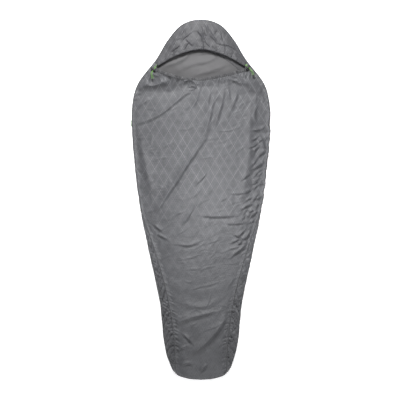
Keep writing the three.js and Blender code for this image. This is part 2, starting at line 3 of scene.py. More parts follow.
import bpy
import numpy as np
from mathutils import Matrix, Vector


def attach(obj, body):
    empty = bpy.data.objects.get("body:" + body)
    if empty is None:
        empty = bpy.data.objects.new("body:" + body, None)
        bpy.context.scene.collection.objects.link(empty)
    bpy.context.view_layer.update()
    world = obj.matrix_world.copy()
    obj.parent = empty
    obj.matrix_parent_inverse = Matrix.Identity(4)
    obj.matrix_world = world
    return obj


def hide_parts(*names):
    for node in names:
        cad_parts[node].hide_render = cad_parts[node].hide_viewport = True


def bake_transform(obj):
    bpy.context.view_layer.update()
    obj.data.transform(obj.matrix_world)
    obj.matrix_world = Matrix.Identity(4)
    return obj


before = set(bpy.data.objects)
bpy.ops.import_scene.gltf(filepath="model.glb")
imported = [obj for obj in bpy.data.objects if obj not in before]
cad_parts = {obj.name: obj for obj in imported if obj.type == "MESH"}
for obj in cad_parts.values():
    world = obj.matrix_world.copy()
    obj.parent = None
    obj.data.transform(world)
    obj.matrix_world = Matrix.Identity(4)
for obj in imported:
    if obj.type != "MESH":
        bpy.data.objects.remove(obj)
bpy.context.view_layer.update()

# Lengths below are in millimetres unless a comment says otherwise. "yf" is a distance from the foot end,
# and the row frame's Y is yf - 1050.
MM = 0.001
LENGTH = 2100.0
CLOTH = 1.4  # thickness shown for the cloth
CLOTH_TOP = 2.0  # top of an upper panel over its underside in the frame
EDGE_Z = 11.5
SEAM_GAP = 0.5  # the panels stop this far inside the outline
TAU = 2 * math.pi


def row_y(yf):
    return yf - LENGTH / 2


def joined(*coordinates):
    """Points from the arrays of their coordinates."""
    return np.stack(np.broadcast_arrays(*coordinates), axis=-1)


def link(obj):
    bpy.context.scene.collection.objects.link(obj)
    return obj


# ---- camera: straight down, as the photograph ----
camera_data = bpy.data.cameras.new("camera")
camera_data.lens = 85
camera_data.sensor_width = 36
camera = link(bpy.data.objects.new("camera", camera_data))
camera.location = (-0.0058, -0.003, 5.54)
bpy.context.scene.camera = camera


# ---- which body a piece rides on ----
def set_down(piece, slot, *nodes):
    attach(piece, "bag")
    if nodes:
        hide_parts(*nodes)
    return piece


def lift_with_hood(piece, slot, *nodes):
    """Hides the parts that a piece stands for and bakes its place into its mesh. It is used for what stays
    sewn to the bag at its edge and goes up with the hood's crown elsewhere, but nothing here moves it.
    """
    if nodes:
        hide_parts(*nodes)
    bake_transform(piece)
    return piece


# ---- materials ----
class Shader:
    """A material's node tree around one Principled BSDF. Coordinates are the rest position in metres."""

    def __init__(self, name, roughness, sheen=0.0, metallic=0.0):
        self.material = bpy.data.materials.new(name)
        self.material.use_nodes = True
        self.tree = self.material.node_tree
        self.bsdf = self.tree.nodes["Principled BSDF"]
        values = (("Roughness", roughness), ("Metallic", metallic), ("Sheen Weight", sheen),
                  ("Sheen Roughness", 0.45))
        for socket, value in values:
            self.bsdf.inputs[socket].default_value = value
        self.place = self.tree.nodes.new("ShaderNodeTexCoord").outputs["Object"]
        split = self.tree.nodes.new("ShaderNodeSeparateXYZ")
        self.tree.links.new(self.place, split.inputs[0])
        self.x, self.y, self.z = split.outputs

    def _into(self, socket, value):
        if isinstance(value, bpy.types.NodeSocket):
            self.tree.links.new(value, socket)
        else:
            socket.default_value = value

    def math(self, operation, *values):
        node = self.tree.nodes.new("ShaderNodeMath")
        node.operation = operation
        for socket, value in zip(node.inputs, values):
            self._into(socket, value)
        return node.outputs[0]

    def noise(self, scale, detail=3.0, stretch=(1, 1, 1)):
        mapping = self.tree.nodes.new("ShaderNodeMapping")
        self.tree.links.new(self.place, mapping.inputs["Vector"])
        mapping.inputs["Scale"].default_value = stretch
        node = self.tree.nodes.new("ShaderNodeTexNoise")
        self.tree.links.new(mapping.outputs[0], node.inputs["Vector"])
        node.inputs["Scale"].default_value = scale
        node.inputs["Detail"].default_value = detail
        return node.outputs["Fac"]

    def ramp(self, factor, low, high, dark, light):
        """Colour from dark to light while factor goes from low to high."""
        node = self.tree.nodes.new("ShaderNodeMapRange")
        self._into(node.inputs["Value"], factor)
        node.inputs["From Min"].default_value = low
        node.inputs["From Max"].default_value = high
        mix = self.tree.nodes.new("ShaderNodeMix")
        mix.data_type = "RGBA"
        self.tree.links.new(node.outputs[0], mix.inputs["Factor"])
        self._into(mix.inputs["A"], dark if isinstance(dark, bpy.types.NodeSocket) else (*dark, 1))
        mix.inputs["B"].default_value = (*light, 1)
        return mix.outputs["Result"]

    def wave(self, coordinate, period):
        """A sine of the coordinate, in metres, from -1 to 1."""
        return self.math("SINE", self.math("MULTIPLY", coordinate, TAU / (period * MM)))

    def color(self, value):
        self._into(self.bsdf.inputs["Base Color"], value)

    def roughness(self, value, low, high):
        node = self.tree.nodes.new("ShaderNodeMapRange")
        self._into(node.inputs["Value"], value)
        node.inputs["To Min"].default_value = low
        node.inputs["To Max"].default_value = high
        self.tree.links.new(node.outputs[0], self.bsdf.inputs["Roughness"])

    def bump(self, height, distance, strength=1.0, under=None):
        node = self.tree.nodes.new("ShaderNodeBump")
        node.inputs["Strength"].default_value = strength
        node.inputs["Distance"].default_value = distance * MM
        self._into(node.inputs["Height"], height)
        if under is not None:
            self.tree.links.new(under, node.inputs["Normal"])
        self.tree.links.new(node.outputs[0], self.bsdf.inputs["Normal"])
        return node.outputs[0]


def plain_weave(shader, pitch):
    """Height of a plain weave, 0 to 1: warp and weft pass over each other in turn."""
    warp = shader.wave(shader.x, 2 * pitch)
    weft = shader.wave(shader.y, 2 * pitch)
    both = shader.math("MULTIPLY", warp, weft)
    return shader.math("MULTIPLY_ADD", both, 0.5, 0.5)


DIAMOND_WIDTH = 54.0
DIAMOND_HEIGHT = 89.0
FAINTEST_LINES = 0.12  # strength left at the foot of the pattern's main lines


def diamonds(shader):
    """The cloth's woven pattern: two families of slanting lines make diamonds, with a smaller one inside
    each and a fine hatching. Returns how much a point is on a main line and on a fine one, from 0 to 1."""
    across = shader.math("DIVIDE", shader.x, DIAMOND_WIDTH * MM)
    along = shader.math("DIVIDE", shader.y, DIAMOND_HEIGHT * MM)

    def from_middle(value):
        part = shader.math("FRACT", value)
        return shader.math("ABSOLUTE", shader.math("SUBTRACT", part, 0.5))

    def line(distance, middle, half):
        off = shader.math("ABSOLUTE", shader.math("SUBTRACT", distance, middle))
        near = shader.math("SUBTRACT", 1.0, shader.math("DIVIDE", off, half))
        return shader.math("MAXIMUM", near, 0.0)

    rising = shader.math("ADD", across, along)
    falling = shader.math("SUBTRACT", across, along)
    ring = shader.math("MAXIMUM", from_middle(rising), from_middle(falling))
    main = line(ring, 0.5, 0.05)
    nested = line(ring, 0.36, 0.035)
    hatch_one = line(from_middle(shader.math("MULTIPLY", rising, 4.0)), 0.5, 0.2)
    hatch_other = line(from_middle(shader.math("MULTIPLY", falling, 4.0)), 0.5, 0.2)
    hatch = shader.math("MAXIMUM", hatch_one, hatch_other)
    fine = shader.math("MAXIMUM", nested, shader.math("MULTIPLY", hatch, 0.55))
    return main, fine


def outer_cloth(name, dark, light, lines, sheen=0.1):
    """Patterned cloth: its ground goes from dark to light. The pattern's main lines are lighter still, and
    fade towards the foot."""
    shader = Shader(name, 0.6, sheen=sheen)
    main, fine = diamonds(shader)
    worn = shader.noise(9.0, 3.0)
    main = shader.math("MULTIPLY", main, worn)
    fine = shader.math("MULTIPLY", fine, shader.noise(14.0, 2.0))
    tone = shader.math("MULTIPLY_ADD", shader.noise(30.0, 5.0), 0.8, shader.math("MULTIPLY", fine, 1.3))
    tone = shader.math("MULTIPLY_ADD", shader.noise(420.0, 2.0), 0.3, tone)
    ground = shader.ramp(tone, 0.3, 1.25, dark, light)
    to_head = shader.math("MINIMUM", shader.math("MULTIPLY_ADD", shader.y, 1.1, 0.85), 1.0)
    crisp = shader.math("MAXIMUM", to_head, FAINTEST_LINES)
    shader.color(shader.ramp(shader.math("MULTIPLY", main, crisp), 0.03, 0.68, ground, lines))
    shader.roughness(shader.math("SUBTRACT", 1.0, main), 0.48, 0.64)
    under = shader.bump(plain_weave(shader, 0.8), 0.12, 0.5)
    relief = shader.math("MULTIPLY_ADD", fine, 0.5, main)
    under = shader.bump(relief, 0.4, 0.6, under)
    shader.bump(shader.noise(55.0, 4.0, (1, 2.0, 1)), 2.4, 0.55, under)
    return shader.material


def inner_cloth(name, dark, light):
    shader = Shader(name, 0.7, sheen=0.1)
    tone = shader.math("MULTIPLY_ADD", shader.noise(380.0, 2.0), 0.35, shader.noise(6.0, 4.0))
    shader.color(shader.ramp(tone, 0.35, 1.0, dark, light))
    under = shader.bump(plain_weave(shader, 0.8), 0.12, 0.5)
    shader.bump(shader.noise(45.0, 3.0), 1.2, 0.35, under)
    return shader.material


def thread(name, dark, light):
    shader = Shader(name, 0.75, sheen=0.15)
    twist = shader.wave(shader.math("ADD", shader.math("ADD", shader.x, shader.y), shader.z), 1.6)
    tone = shader.math("MULTIPLY_ADD", twist, 0.3, shader.noise(90.0))
    shader.color(shader.ramp(tone, 0.2, 0.9, dark, light))
    shader.bump(twist, 0.25, 0.7)
    return shader.material


def braided_cord(name, dark, light, pitch):
    shader = Shader(name, 0.6, sheen=0.2)
    slant = shader.math("MULTIPLY", shader.z, 1.6)
    one = shader.wave(shader.math("ADD", shader.math("ADD", shader.x, shader.y), slant), pitch)
    other = shader.wave(shader.math("SUBTRACT", shader.math("SUBTRACT", shader.x, shader.y), slant), pitch)
    braid = shader.math("MAXIMUM", one, other)
    tone = shader.math("MULTIPLY_ADD", braid, 0.35, shader.noise(300.0))
    shader.color(shader.ramp(tone, 0.25, 0.85, dark, light))
    shader.bump(braid, 0.3, 0.8)
    return shader.material


def moulded_plastic(name, dark, light):
    shader = Shader(name, 0.5)
    shader.bsdf.inputs["Specular IOR Level"].default_value = 0.35
    spots = shader.noise(900.0, 2.0)
    shader.color(shader.ramp(shader.noise(120.0), 0.3, 0.7, dark, light))
    shader.roughness(spots, 0.42, 0.6)
    shader.bump(spots, 0.06, 0.6)
    return shader.material


def drawn_wire(name):
    shader = Shader(name, 0.3, metallic=1.0)
    shader.color(shader.ramp(shader.noise(700.0), 0.3, 0.7, (0.42, 0.43, 0.44), (0.62, 0.63, 0.65)))
    shader.roughness(shader.noise(1500.0), 0.22, 0.42)
    shader.bump(shader.noise(2500.0), 0.02, 0.5)
    return shader.material


OUTER = outer_cloth("outer_cloth", (0.0295, 0.0301, 0.0331), (0.0645, 0.0654, 0.0708),
                    (0.1, 0.101, 0.108))
# The hood's crown and its rim hem are the same patterned shell cloth, made darker with fainter lines and less
# sheen: painted shade for the shade of the crown's small wrinkles and its slope.
CROWN_SHADED_CLOTH = outer_cloth("crown_cloth", (0.0135, 0.0135, 0.0152), (0.045, 0.045, 0.05),
                          (0.064, 0.064, 0.07), 0.05)
INNER = inner_cloth("inner_cloth", (0.0395, 0.0385, 0.04), (0.06, 0.0592, 0.0615))
# The lining inside the hood is the same cloth as the rest of the lining, made darker: painted shade where the
# crown overhangs it.
HOOD_LINING_SHADED = inner_cloth("hood_inner_cloth", (0.029, 0.0288, 0.0312), (0.042, 0.0415, 0.0445))
# The chest hem is the shell's patterned cloth made darker: painted shade for the shaded face of the gathered
# hem.
CHEST_HEM_SHADED_CLOTH = outer_cloth("hem_cloth", (0.013, 0.0132, 0.0145), (0.031, 0.0314, 0.034),
                        (0.048, 0.048, 0.052))
THREAD = thread("seam_thread_grey", (0.019, 0.0192, 0.0208), (0.044, 0.0442, 0.0475))
LIGHT_THREAD = thread("stitch_thread_light", (0.085, 0.086, 0.091), (0.15, 0.151, 0.158))
GREEN = braided_cord("green_braid", (0.02, 0.07, 0.008), (0.12, 0.27, 0.05), 3.2)
PALE = braided_cord("pale_braid", (0.05, 0.085, 0.03), (0.15, 0.21, 0.09), 2.4)
ELASTIC = braided_cord("elastic_braid", (0.012, 0.012, 0.013), (0.04, 0.04, 0.043), 2.4)
BLACK = moulded_plastic("black_moulding", (0.007, 0.007, 0.008), (0.016, 0.016, 0.018))
STEEL = drawn_wire("spring_wire")


# ---- cords ----
CORD = 2.8
STRAND_SPACING = 3.5
CORD_END_SPREAD = 4.0
TAIL_STRAIGHT = 18.0
LOOP_CORD = 3.0
SMALL_LOOP_CORD = 1.8
MOUTH_CORNER = 256.0
RIM = 1934.0  # middle of the hood's rim, from the foot end
RIM_DROP = 96.0  # from there to its ends
RIM_WAVE = 2.2
CHEST = 1750.0
CHEST_RISE = 53.0
HEM_WIDTH = 16.0
HEM_THICKNESS = 6.0


def rim_line(x):
    share = np.minimum(1, np.abs(x) / MOUTH_CORNER)
    wavy = RIM_WAVE * noise(x / 36, 0 * share, 93)
    return RIM - RIM_DROP * share**1.7 + wavy * (1 - share**4)


def chest_line(x):
    share = np.minimum(1, np.abs(x) / MOUTH_CORNER)
    return CHEST + CHEST_RISE * share ** np.where(np.asarray(x) < 0, 2.5, 1.3)


def smoothstep(value, start, end):
    t = np.clip((value - start) / (end - start), 0, 1)
    return t * t * (3 - 2 * t)


def noise(x, y, seed):
    """Smooth gradient noise, about -1 to 1, with cells of size 1."""
    xi, yi = np.floor(x), np.floor(y)
    fx, fy = x - xi, y - yi

    def corner(i, j):
        hashed = np.sin((xi + i) * 127.1 + (yi + j) * 311.7 + seed * 74.7) * 43758.5453
        angle = (hashed - np.floor(hashed)) * TAU
        return np.cos(angle) * (fx - i) + np.sin(angle) * (fy - j)

    u = fx**3 * (fx * (fx * 6 - 15) + 10)
    v = fy**3 * (fy * (fy * 6 - 15) + 10)
    low = corner(0, 0) * (1 - u) + corner(1, 0) * u
    high = corner(0, 1) * (1 - u) + corner(1, 1) * u
    return 1.5 * (low * (1 - v) + high * v)


def unit(v):
    return v / np.linalg.norm(v)


def curve_piece(name, points, diameter, material):
    """A round cord as a curve of one open spline through points in millimetres."""
    data = bpy.data.curves.new(name, "CURVE")
    data.dimensions = "3D"
    data.bevel_depth = diameter / 2 * MM
    data.bevel_resolution = 4
    data.resolution_u = 5
    data.use_fill_caps = True
    spline = data.splines.new("BEZIER")
    spline.bezier_points.add(len(points) - 1)
    for knot, point in zip(spline.bezier_points, points):
        knot.co = [c * MM for c in point]
        knot.handle_left_type = knot.handle_right_type = "AUTO"
    data.materials.append(material)
    return link(bpy.data.objects.new(name, data))


def smooth_path(points, per_step=8):
    """More points on a centripetal Catmull-Rom curve through the points."""
    p = [np.array(q, float) for q in points]
    p = [2 * p[0] - p[1], *p, 2 * p[-1] - p[-2]]
    out = []
    for i in range(1, len(p) - 2):
        a, b, c, d = p[i - 1 : i + 3]
        t0 = 0.0
        t1 = t0 + np.linalg.norm(b - a) ** 0.5
        t2 = t1 + np.linalg.norm(c - b) ** 0.5
        t3 = t2 + np.linalg.norm(d - c) ** 0.5
        for t in np.linspace(t1, t2, per_step, endpoint=False):
            ab = (t1 - t) / (t1 - t0) * a + (t - t0) / (t1 - t0) * b
            bc = (t2 - t) / (t2 - t1) * b + (t - t1) / (t2 - t1) * c
            cd = (t3 - t) / (t3 - t2) * c + (t - t2) / (t3 - t2) * d
            abc = (t2 - t) / (t2 - t0) * ab + (t - t0) / (t2 - t0) * bc
            bcd = (t3 - t) / (t3 - t1) * bc + (t - t1) / (t3 - t1) * cd
            out.append((t2 - t) / (t2 - t1) * abc + (t - t1) / (t2 - t1) * bcd)
    out.append(p[-2])
    return np.array(out)


EDGE_CROWN = 33.0  # height of the hood's crown over the edge seam
MOUTH_LEVEL = 1850.0  # from here the hood's crown comes down to the head end


class Lock:
    """One drawcord lock: its middle, its turn from the bag's length, and where its cord ends."""

    def __init__(self, name, side, place, turn, tail_end, tail_turn):
        self.name = name
        self.side = side
        self.place = np.array(place, float)
        turn, tail_turn = math.radians(turn), math.radians(tail_turn)
        self.down = np.array([side * math.sin(turn), -math.cos(turn), 0])
        self.out = np.array([side * math.cos(turn), math.sin(turn), 0])
        self.tail_end = np.array(tail_end, float)
        self.end_down = np.array([side * math.sin(tail_turn), -math.cos(tail_turn), 0])
        self.end_out = np.array([side * math.cos(tail_turn), math.sin(tail_turn), 0])

    def at(self, out, y, z=None):
        point = self.place + self.out * out - self.down * y
        if z is not None:
            point[2] = z
        return point

    def through(self, out):
        return [self.at(out * STRAND_SPACING / 2, y) for y in (12, 6, 0, -6, -12, -TAIL_STRAIGHT)]

    def tail(self, out):
        a, b = self.at(0, -TAIL_STRAIGHT), self.at(0, -TAIL_STRAIGHT - 12)
        c, d = self.tail_end - self.end_down * 14, self.tail_end
        points = []
        for t in (0.15, 0.3, 0.45, 0.6, 0.75, 0.9, 1):
            s = 1 - t
            middle = s**3 * a + 3 * s * s * t * b + 3 * s * t * t * c + t**3 * d
            spread = STRAND_SPACING / 2 + (CORD_END_SPREAD - STRAND_SPACING / 2) * smoothstep(t, 0, 0.6)
            points.append(middle + unit(self.out * s + self.end_out * t) * out * spread)
        return points


LOCKS = [
    Lock("left", -1, (-276, 758, 29.5), 35, (-283, 706, 28.5), -4),
    Lock("right", 1, (275, 773, 29.5), 45, (305, 727, 28.5), 14),
]


def hem_end(side):
    """The end of the hood hem's middle line, and the direction that it runs out in."""
    def on_path(x):
        return np.array([side * x, row_y(rim_line(x)), crown_middle(x)])

    end = on_path(MOUTH_CORNER)
    return end, unit(end - on_path(MOUTH_CORNER * 11 / 12))


def crown_middle(x):
    """Height of the middle of the hood's rim hem."""
    share = np.minimum(1, np.abs(x) / float(half_width(rim_line(x))))
    to_top = 1 - max(0, (rim_line(x) - MOUTH_LEVEL) / (LENGTH - MOUTH_LEVEL)) ** 2.2
    return EDGE_Z + EDGE_CROWN * to_top * (1 - share**3.2) + 1


# Right half of the outline, as (half width, distance from the foot end).
OUTLINE_POINTS = [
    (0, 0), (80, 8), (150, 38), (192, 125), (216, 245), (236, 440), (300, 745), (355, 1020), (389, 1304),
    (402, 1500), (394, 1640), (366, 1728), (262, 1866), (236, 1908), (193, 1980), (120, 2064), (52, 2095),
    (0, 2100),
]
OUTLINE = smooth_path(OUTLINE_POINTS, 40)


def half_width(yf):
    return np.interp(yf, OUTLINE[:, 1], OUTLINE[:, 0])


def add_strands(lock):
    side = lock.side
    end, along = hem_end(side)
    hood = [end + along * 0.5, end + along * 4]
    hood.append((end + along * 8) * 0.55 + lock.at(-3.4, 17) * 0.45)
    hood += [lock.at(-2.6, 16), *lock.through(-1), *lock.tail(-1)]
    sewn_at = np.array([side * 268, 776, 15.5])
    sewn = [sewn_at, sewn_at + [0, 0, 3], lock.at(6.2, 18, 24.5), lock.at(4.6, 15)]
    sewn += [*lock.through(1), *lock.tail(1)]
    for kind, points, node in (("hood", hood, "lock_barrel"), ("sewn", sewn, "cord_end")):
        piece = curve_piece(f"{kind}_cord_{lock.name}", points, CORD, GREEN)
        set_down(piece, "green_cord", f"{kind}_strand_{lock.name}")


# The route of half a tie loop: (share of its reach, share of its width), mirrored for the way back.
LOOP_ROUTE = [(0, 0.16), (0.3, 0.16), (0.24, 0.26), (0.36, 0.38), (0.56, 0.46), (0.78, 0.46), (0.93, 0.34),
              (0.99, 0.18), (1, 0)]
TAB_REACH = 16.0
# Each tie loop: name, side, distance from the foot end, reach, width, then its cord, material and slot.
LOOPS = [
    ("shoulder_left_loop", -1, 1496, 21, 38, LOOP_CORD, GREEN, "green_cord"),
    ("shoulder_right_loop", 1, 1496, 10, 38, LOOP_CORD, GREEN, "green_cord"),
    ("hip_left_loop", -1, 996, 28, 26, SMALL_LOOP_CORD, PALE, "pale_cord"),
    ("hip_right_loop", 1, 996, 10, 26, SMALL_LOOP_CORD, PALE, "pale_cord"),
]
for each_lock in LOCKS:
    add_strands(each_lock)


def tube(name, path, across, up, material, sides=12, swell=None, power=1.0, round_ends=0.0):
    """A closed tube of oval section along path: across and up are its half sizes. A power below 1 squares
    the section. swell(s, angle) scales it, where s is the distance along the path."""
    path = np.asarray(path, float)
    along = np.gradient(path, axis=0)
    right = joined(along[:, 1], -along[:, 0], 0.0)
    right /= np.linalg.norm(right, axis=1)[:, None]
    s = np.concatenate([[0], np.cumsum(np.linalg.norm(np.diff(path, axis=0), axis=1))])
    angle = TAU * np.arange(sides) / sides
    scale = np.ones((len(path), sides))
    if swell is not None:
        scale = scale * swell(s[:, None], angle[None, :])
    if round_ends:
        into = np.clip(np.minimum(s, s[-1] - s) / round_ends, 0.02, 1)
        scale = scale * np.sqrt(1 - (1 - into) ** 2)[:, None]
    wide = np.sign(np.cos(angle)) * np.abs(np.cos(angle)) ** power * across
    high = np.sign(np.sin(angle)) * np.abs(np.sin(angle)) ** power * up
    points = path[:, None, :] + right[:, None, :] * (scale * wide)[:, :, None]
    points[:, :, 2] += scale * high
    rows = len(path)
    i, k = np.meshgrid(np.arange(rows - 1), np.arange(sides), indexing="ij")
    nxt = (k + 1) % sides
    quads = np.stack([i * sides + k, (i + 1) * sides + k, (i + 1) * sides + nxt, i * sides + nxt], axis=-1)
    faces = quads.reshape(-1, 4).tolist()
    faces.append(list(range(sides)))
    faces.append(list(range((rows - 1) * sides, rows * sides))[::-1])
    return mesh_piece(name, points.reshape(-1, 3), faces, material)


EDGE_WANDER = 1.6  # of the puckered edge, in and out
RIGHT_WANDER = 3.0  # this much more on the right, beside the hips
EDGE_CALM = 0.8  # share of it that is lost from the shoulders up


def uneven_edge(points):
    """Points moved in and out a little near the bag's edge, where the puckered seams make it uneven."""
    x, yf = points[:, 0], points[:, 1] + LENGTH / 2
    share = np.abs(x) / np.maximum(half_width(yf), 1)
    side = np.where(x > 0, 1.0, -1.0)
    beside_hips = smoothstep(yf, 850, 980) * (1 - smoothstep(yf, 1440, 1560))
    most = EDGE_WANDER + RIGHT_WANDER * smoothstep(x, 0, 1) * beside_hips
    calm = 1 - EDGE_CALM * smoothstep(yf, 1640, 1720)
    wave = noise(yf / 42, side * 5.3, 91) + 0.6 * noise(yf / 17, side * 3.1, 92)
    moved = points.copy()
    moved[:, 0] += side * most * calm * wave * smoothstep(share, 0.82, 1)
    return moved


def mesh_piece(name, points, faces, material, uneven=True):
    """A smooth-shaded mesh from points in millimetres, with its faces turned outwards."""
    points = np.asarray(points)
    mesh = bpy.data.meshes.new(name)
    mesh.from_pydata(((uneven_edge(points) if uneven else points) * MM).tolist(), [], faces)
    mesh.validate()
    mesh.calc_loop_triangles()
    where = np.empty(len(mesh.vertices) * 3)
    mesh.vertices.foreach_get("co", where)
    triangles = np.empty(len(mesh.loop_triangles) * 3, np.int32)
    mesh.loop_triangles.foreach_get("vertices", triangles)
    a, b, c = np.moveaxis(where.reshape(-1, 3)[triangles.reshape(-1, 3)], 1, 0)
    if np.einsum("ij,ij->", a, np.cross(b, c)) < 0:
        mesh.flip_normals()
    mesh.polygons.foreach_set("use_smooth", [True] * len(mesh.polygons))
    mesh.materials.append(material)
    mesh.update()
    return link(bpy.data.objects.new(name, mesh))


def resampled(points, step=None, count=None):
    """Evenly spaced points along a line."""
    points = np.asarray(points, float)
    s = np.concatenate([[0], np.cumsum(np.linalg.norm(np.diff(points, axis=0), axis=1))])
    count = count or max(3, int(round(s[-1] / step)) + 1)
    at = np.linspace(0, s[-1], count)
    return np.stack([np.interp(at, s, points[:, k]) for k in range(points.shape[1])], axis=1)


FLANGE_WIDTH = 42.0
FLANGE_RISE = 9.0


def stitched(depth, pitch, sharpness):
    """For a tube drawn in by its stitches, once in each pitch."""
    def swell(s, angle):
        return 1 - depth * np.abs(np.sin(math.pi * s / pitch)) ** sharpness + 0 * angle
    return swell


def add_loop(name, side, at, reach, width, cord, material, slot):
    tab_x = float(half_width(at)) - TAB_REACH
    start = tab_x + 1.7 + 1
    route = LOOP_ROUTE + [(out, -along) for out, along in LOOP_ROUTE[-2::-1]]
    height = cord / 2 + 0.4
    points = [(side * (start + reach * out), row_y(at + width * along), height) for out, along in route]
    piece = set_down(curve_piece(f"{name}_cord", points, cord, material), slot, name)
    height = FLANGE_RISE * (FLANGE_WIDTH - TAB_REACH - 3.4) / FLANGE_WIDTH - 1.2
    path = [(side * tab_x, row_y(at + width * t), 0.4 + height / 2) for t in np.linspace(-0.25, 0.25, 40)]
    tack = tube(f"{name}_tack", path, 1.7, height / 2, THREAD, 12, stitched(0.12, 1.3, 1), 0.6, 1.0)
    set_down(tack, "seam_thread", f"{name}_tab")


for each_loop in LOOPS:
    add_loop(*each_loop)


# ---- the bag's shape ----
NECK_END_YF = 1786.0
NECK_END = float(half_width(NECK_END_YF))
NECK_MIDDLE = 1922.0
NECK_BEND = 239.0  # this far out on the left the seam turns down more steeply
GUSSET_START = 971.0
GUSSET_HEIGHT = 33.0
BODY_LOFT = 44.0
FOOT_LOFT = 18.0
FOOT_LOFT_AT = 180.0
FOOT_LOFT_SPREAD = 240.0
CHEST_DROP = 12.0
CHEST_DROP_START = 1500.0
FOOT_ROUNDING = 130.0
CROWN_POWER = 3.2
RIM_SAG = 0.25  # share of its height that the crown loses towards its rim


def inset_line(line, distance):
    """A line of (x, yf) moved to its left by distance."""
    along = np.gradient(line, axis=0)
    along /= np.linalg.norm(along, axis=1)[:, None]
    return line + distance * joined(-along[:, 1], along[:, 0])


CLOTH_EDGE = inset_line(OUTLINE[:, :2], SEAM_GAP)
FOOT_ARC = OUTLINE[(OUTLINE[:, 0] < 170) & (OUTLINE[:, 1] < 90)]
GUSSET_SEAM = smooth_path(
    [(146, 40), (160, 277), (190, 464), (252, 697), (float(half_width(GUSSET_START)) - 2.5, GUSSET_START)], 20
)


def foot_edge(x):
    return np.interp(np.abs(x), FOOT_ARC[:, 0], FOOT_ARC[:, 1])


def front_half_width(yf):
    seam = np.interp(yf, GUSSET_SEAM[:, 1], GUSSET_SEAM[:, 0])
    return np.where(np.asarray(yf) >= GUSSET_START, half_width(yf) - SEAM_GAP, seam)


def seam_height(yf):
    return EDGE_Z + GUSSET_HEIGHT * (1 - smoothstep(np.asarray(yf, float), GUSSET_START - 700, GUSSET_START))


def front_height(x, yf):
    middle = BODY_LOFT + FOOT_LOFT * np.exp(-(((yf - FOOT_LOFT_AT) / FOOT_LOFT_SPREAD) ** 2))
    middle = middle - CHEST_DROP * smoothstep(yf, CHEST_DROP_START, CHEST - 6)
    share = np.clip(np.abs(x) / front_half_width(yf), 0, 1)
    to_foot = 1 - np.clip(1 - (yf - foot_edge(x)) / FOOT_ROUNDING, 0, 1) ** 2.5
    return seam_height(yf) + (middle - seam_height(yf)) * (1 - share**CROWN_POWER) * to_foot


def crown_height(x, yf):
    share = np.clip(np.abs(x) / half_width(yf), 0, 1)
    to_top = 1 - np.clip((yf - MOUTH_LEVEL) / (LENGTH - MOUTH_LEVEL), 0, 1) ** 2.2
    at_corner = np.clip(np.abs(x) / MOUTH_CORNER, 0, 1) ** 4
    sag = 1 - RIM_SAG * (1 - at_corner) * np.exp(-((np.maximum(yf - rim_line(x), 0) / 80) ** 2))
    return EDGE_Z + EDGE_CROWN * to_top * sag * (1 - share**CROWN_POWER)


def neck_seam(x):
    """The seam between the back panels, which shows most on the right, where it runs lower."""
    out = np.abs(x)
    left = NECK_MIDDLE - 67 * (out / NECK_BEND) ** 2 - 69 * smoothstep(out, NECK_BEND, NECK_END)
    right = np.maximum(NECK_MIDDLE - 129 * (out / NECK_BEND) ** 1.8, NECK_END_YF)
    return np.where(x < 0, np.maximum(left, NECK_END_YF), right)


def edge_distance(x, yf):
    """Distance to the bag's outline."""
    out = np.full(np.shape(x), 1e9)
    for px, py in OUTLINE[::6]:
        out = np.minimum(out, np.hypot(px - np.abs(x), py - yf))
    return out


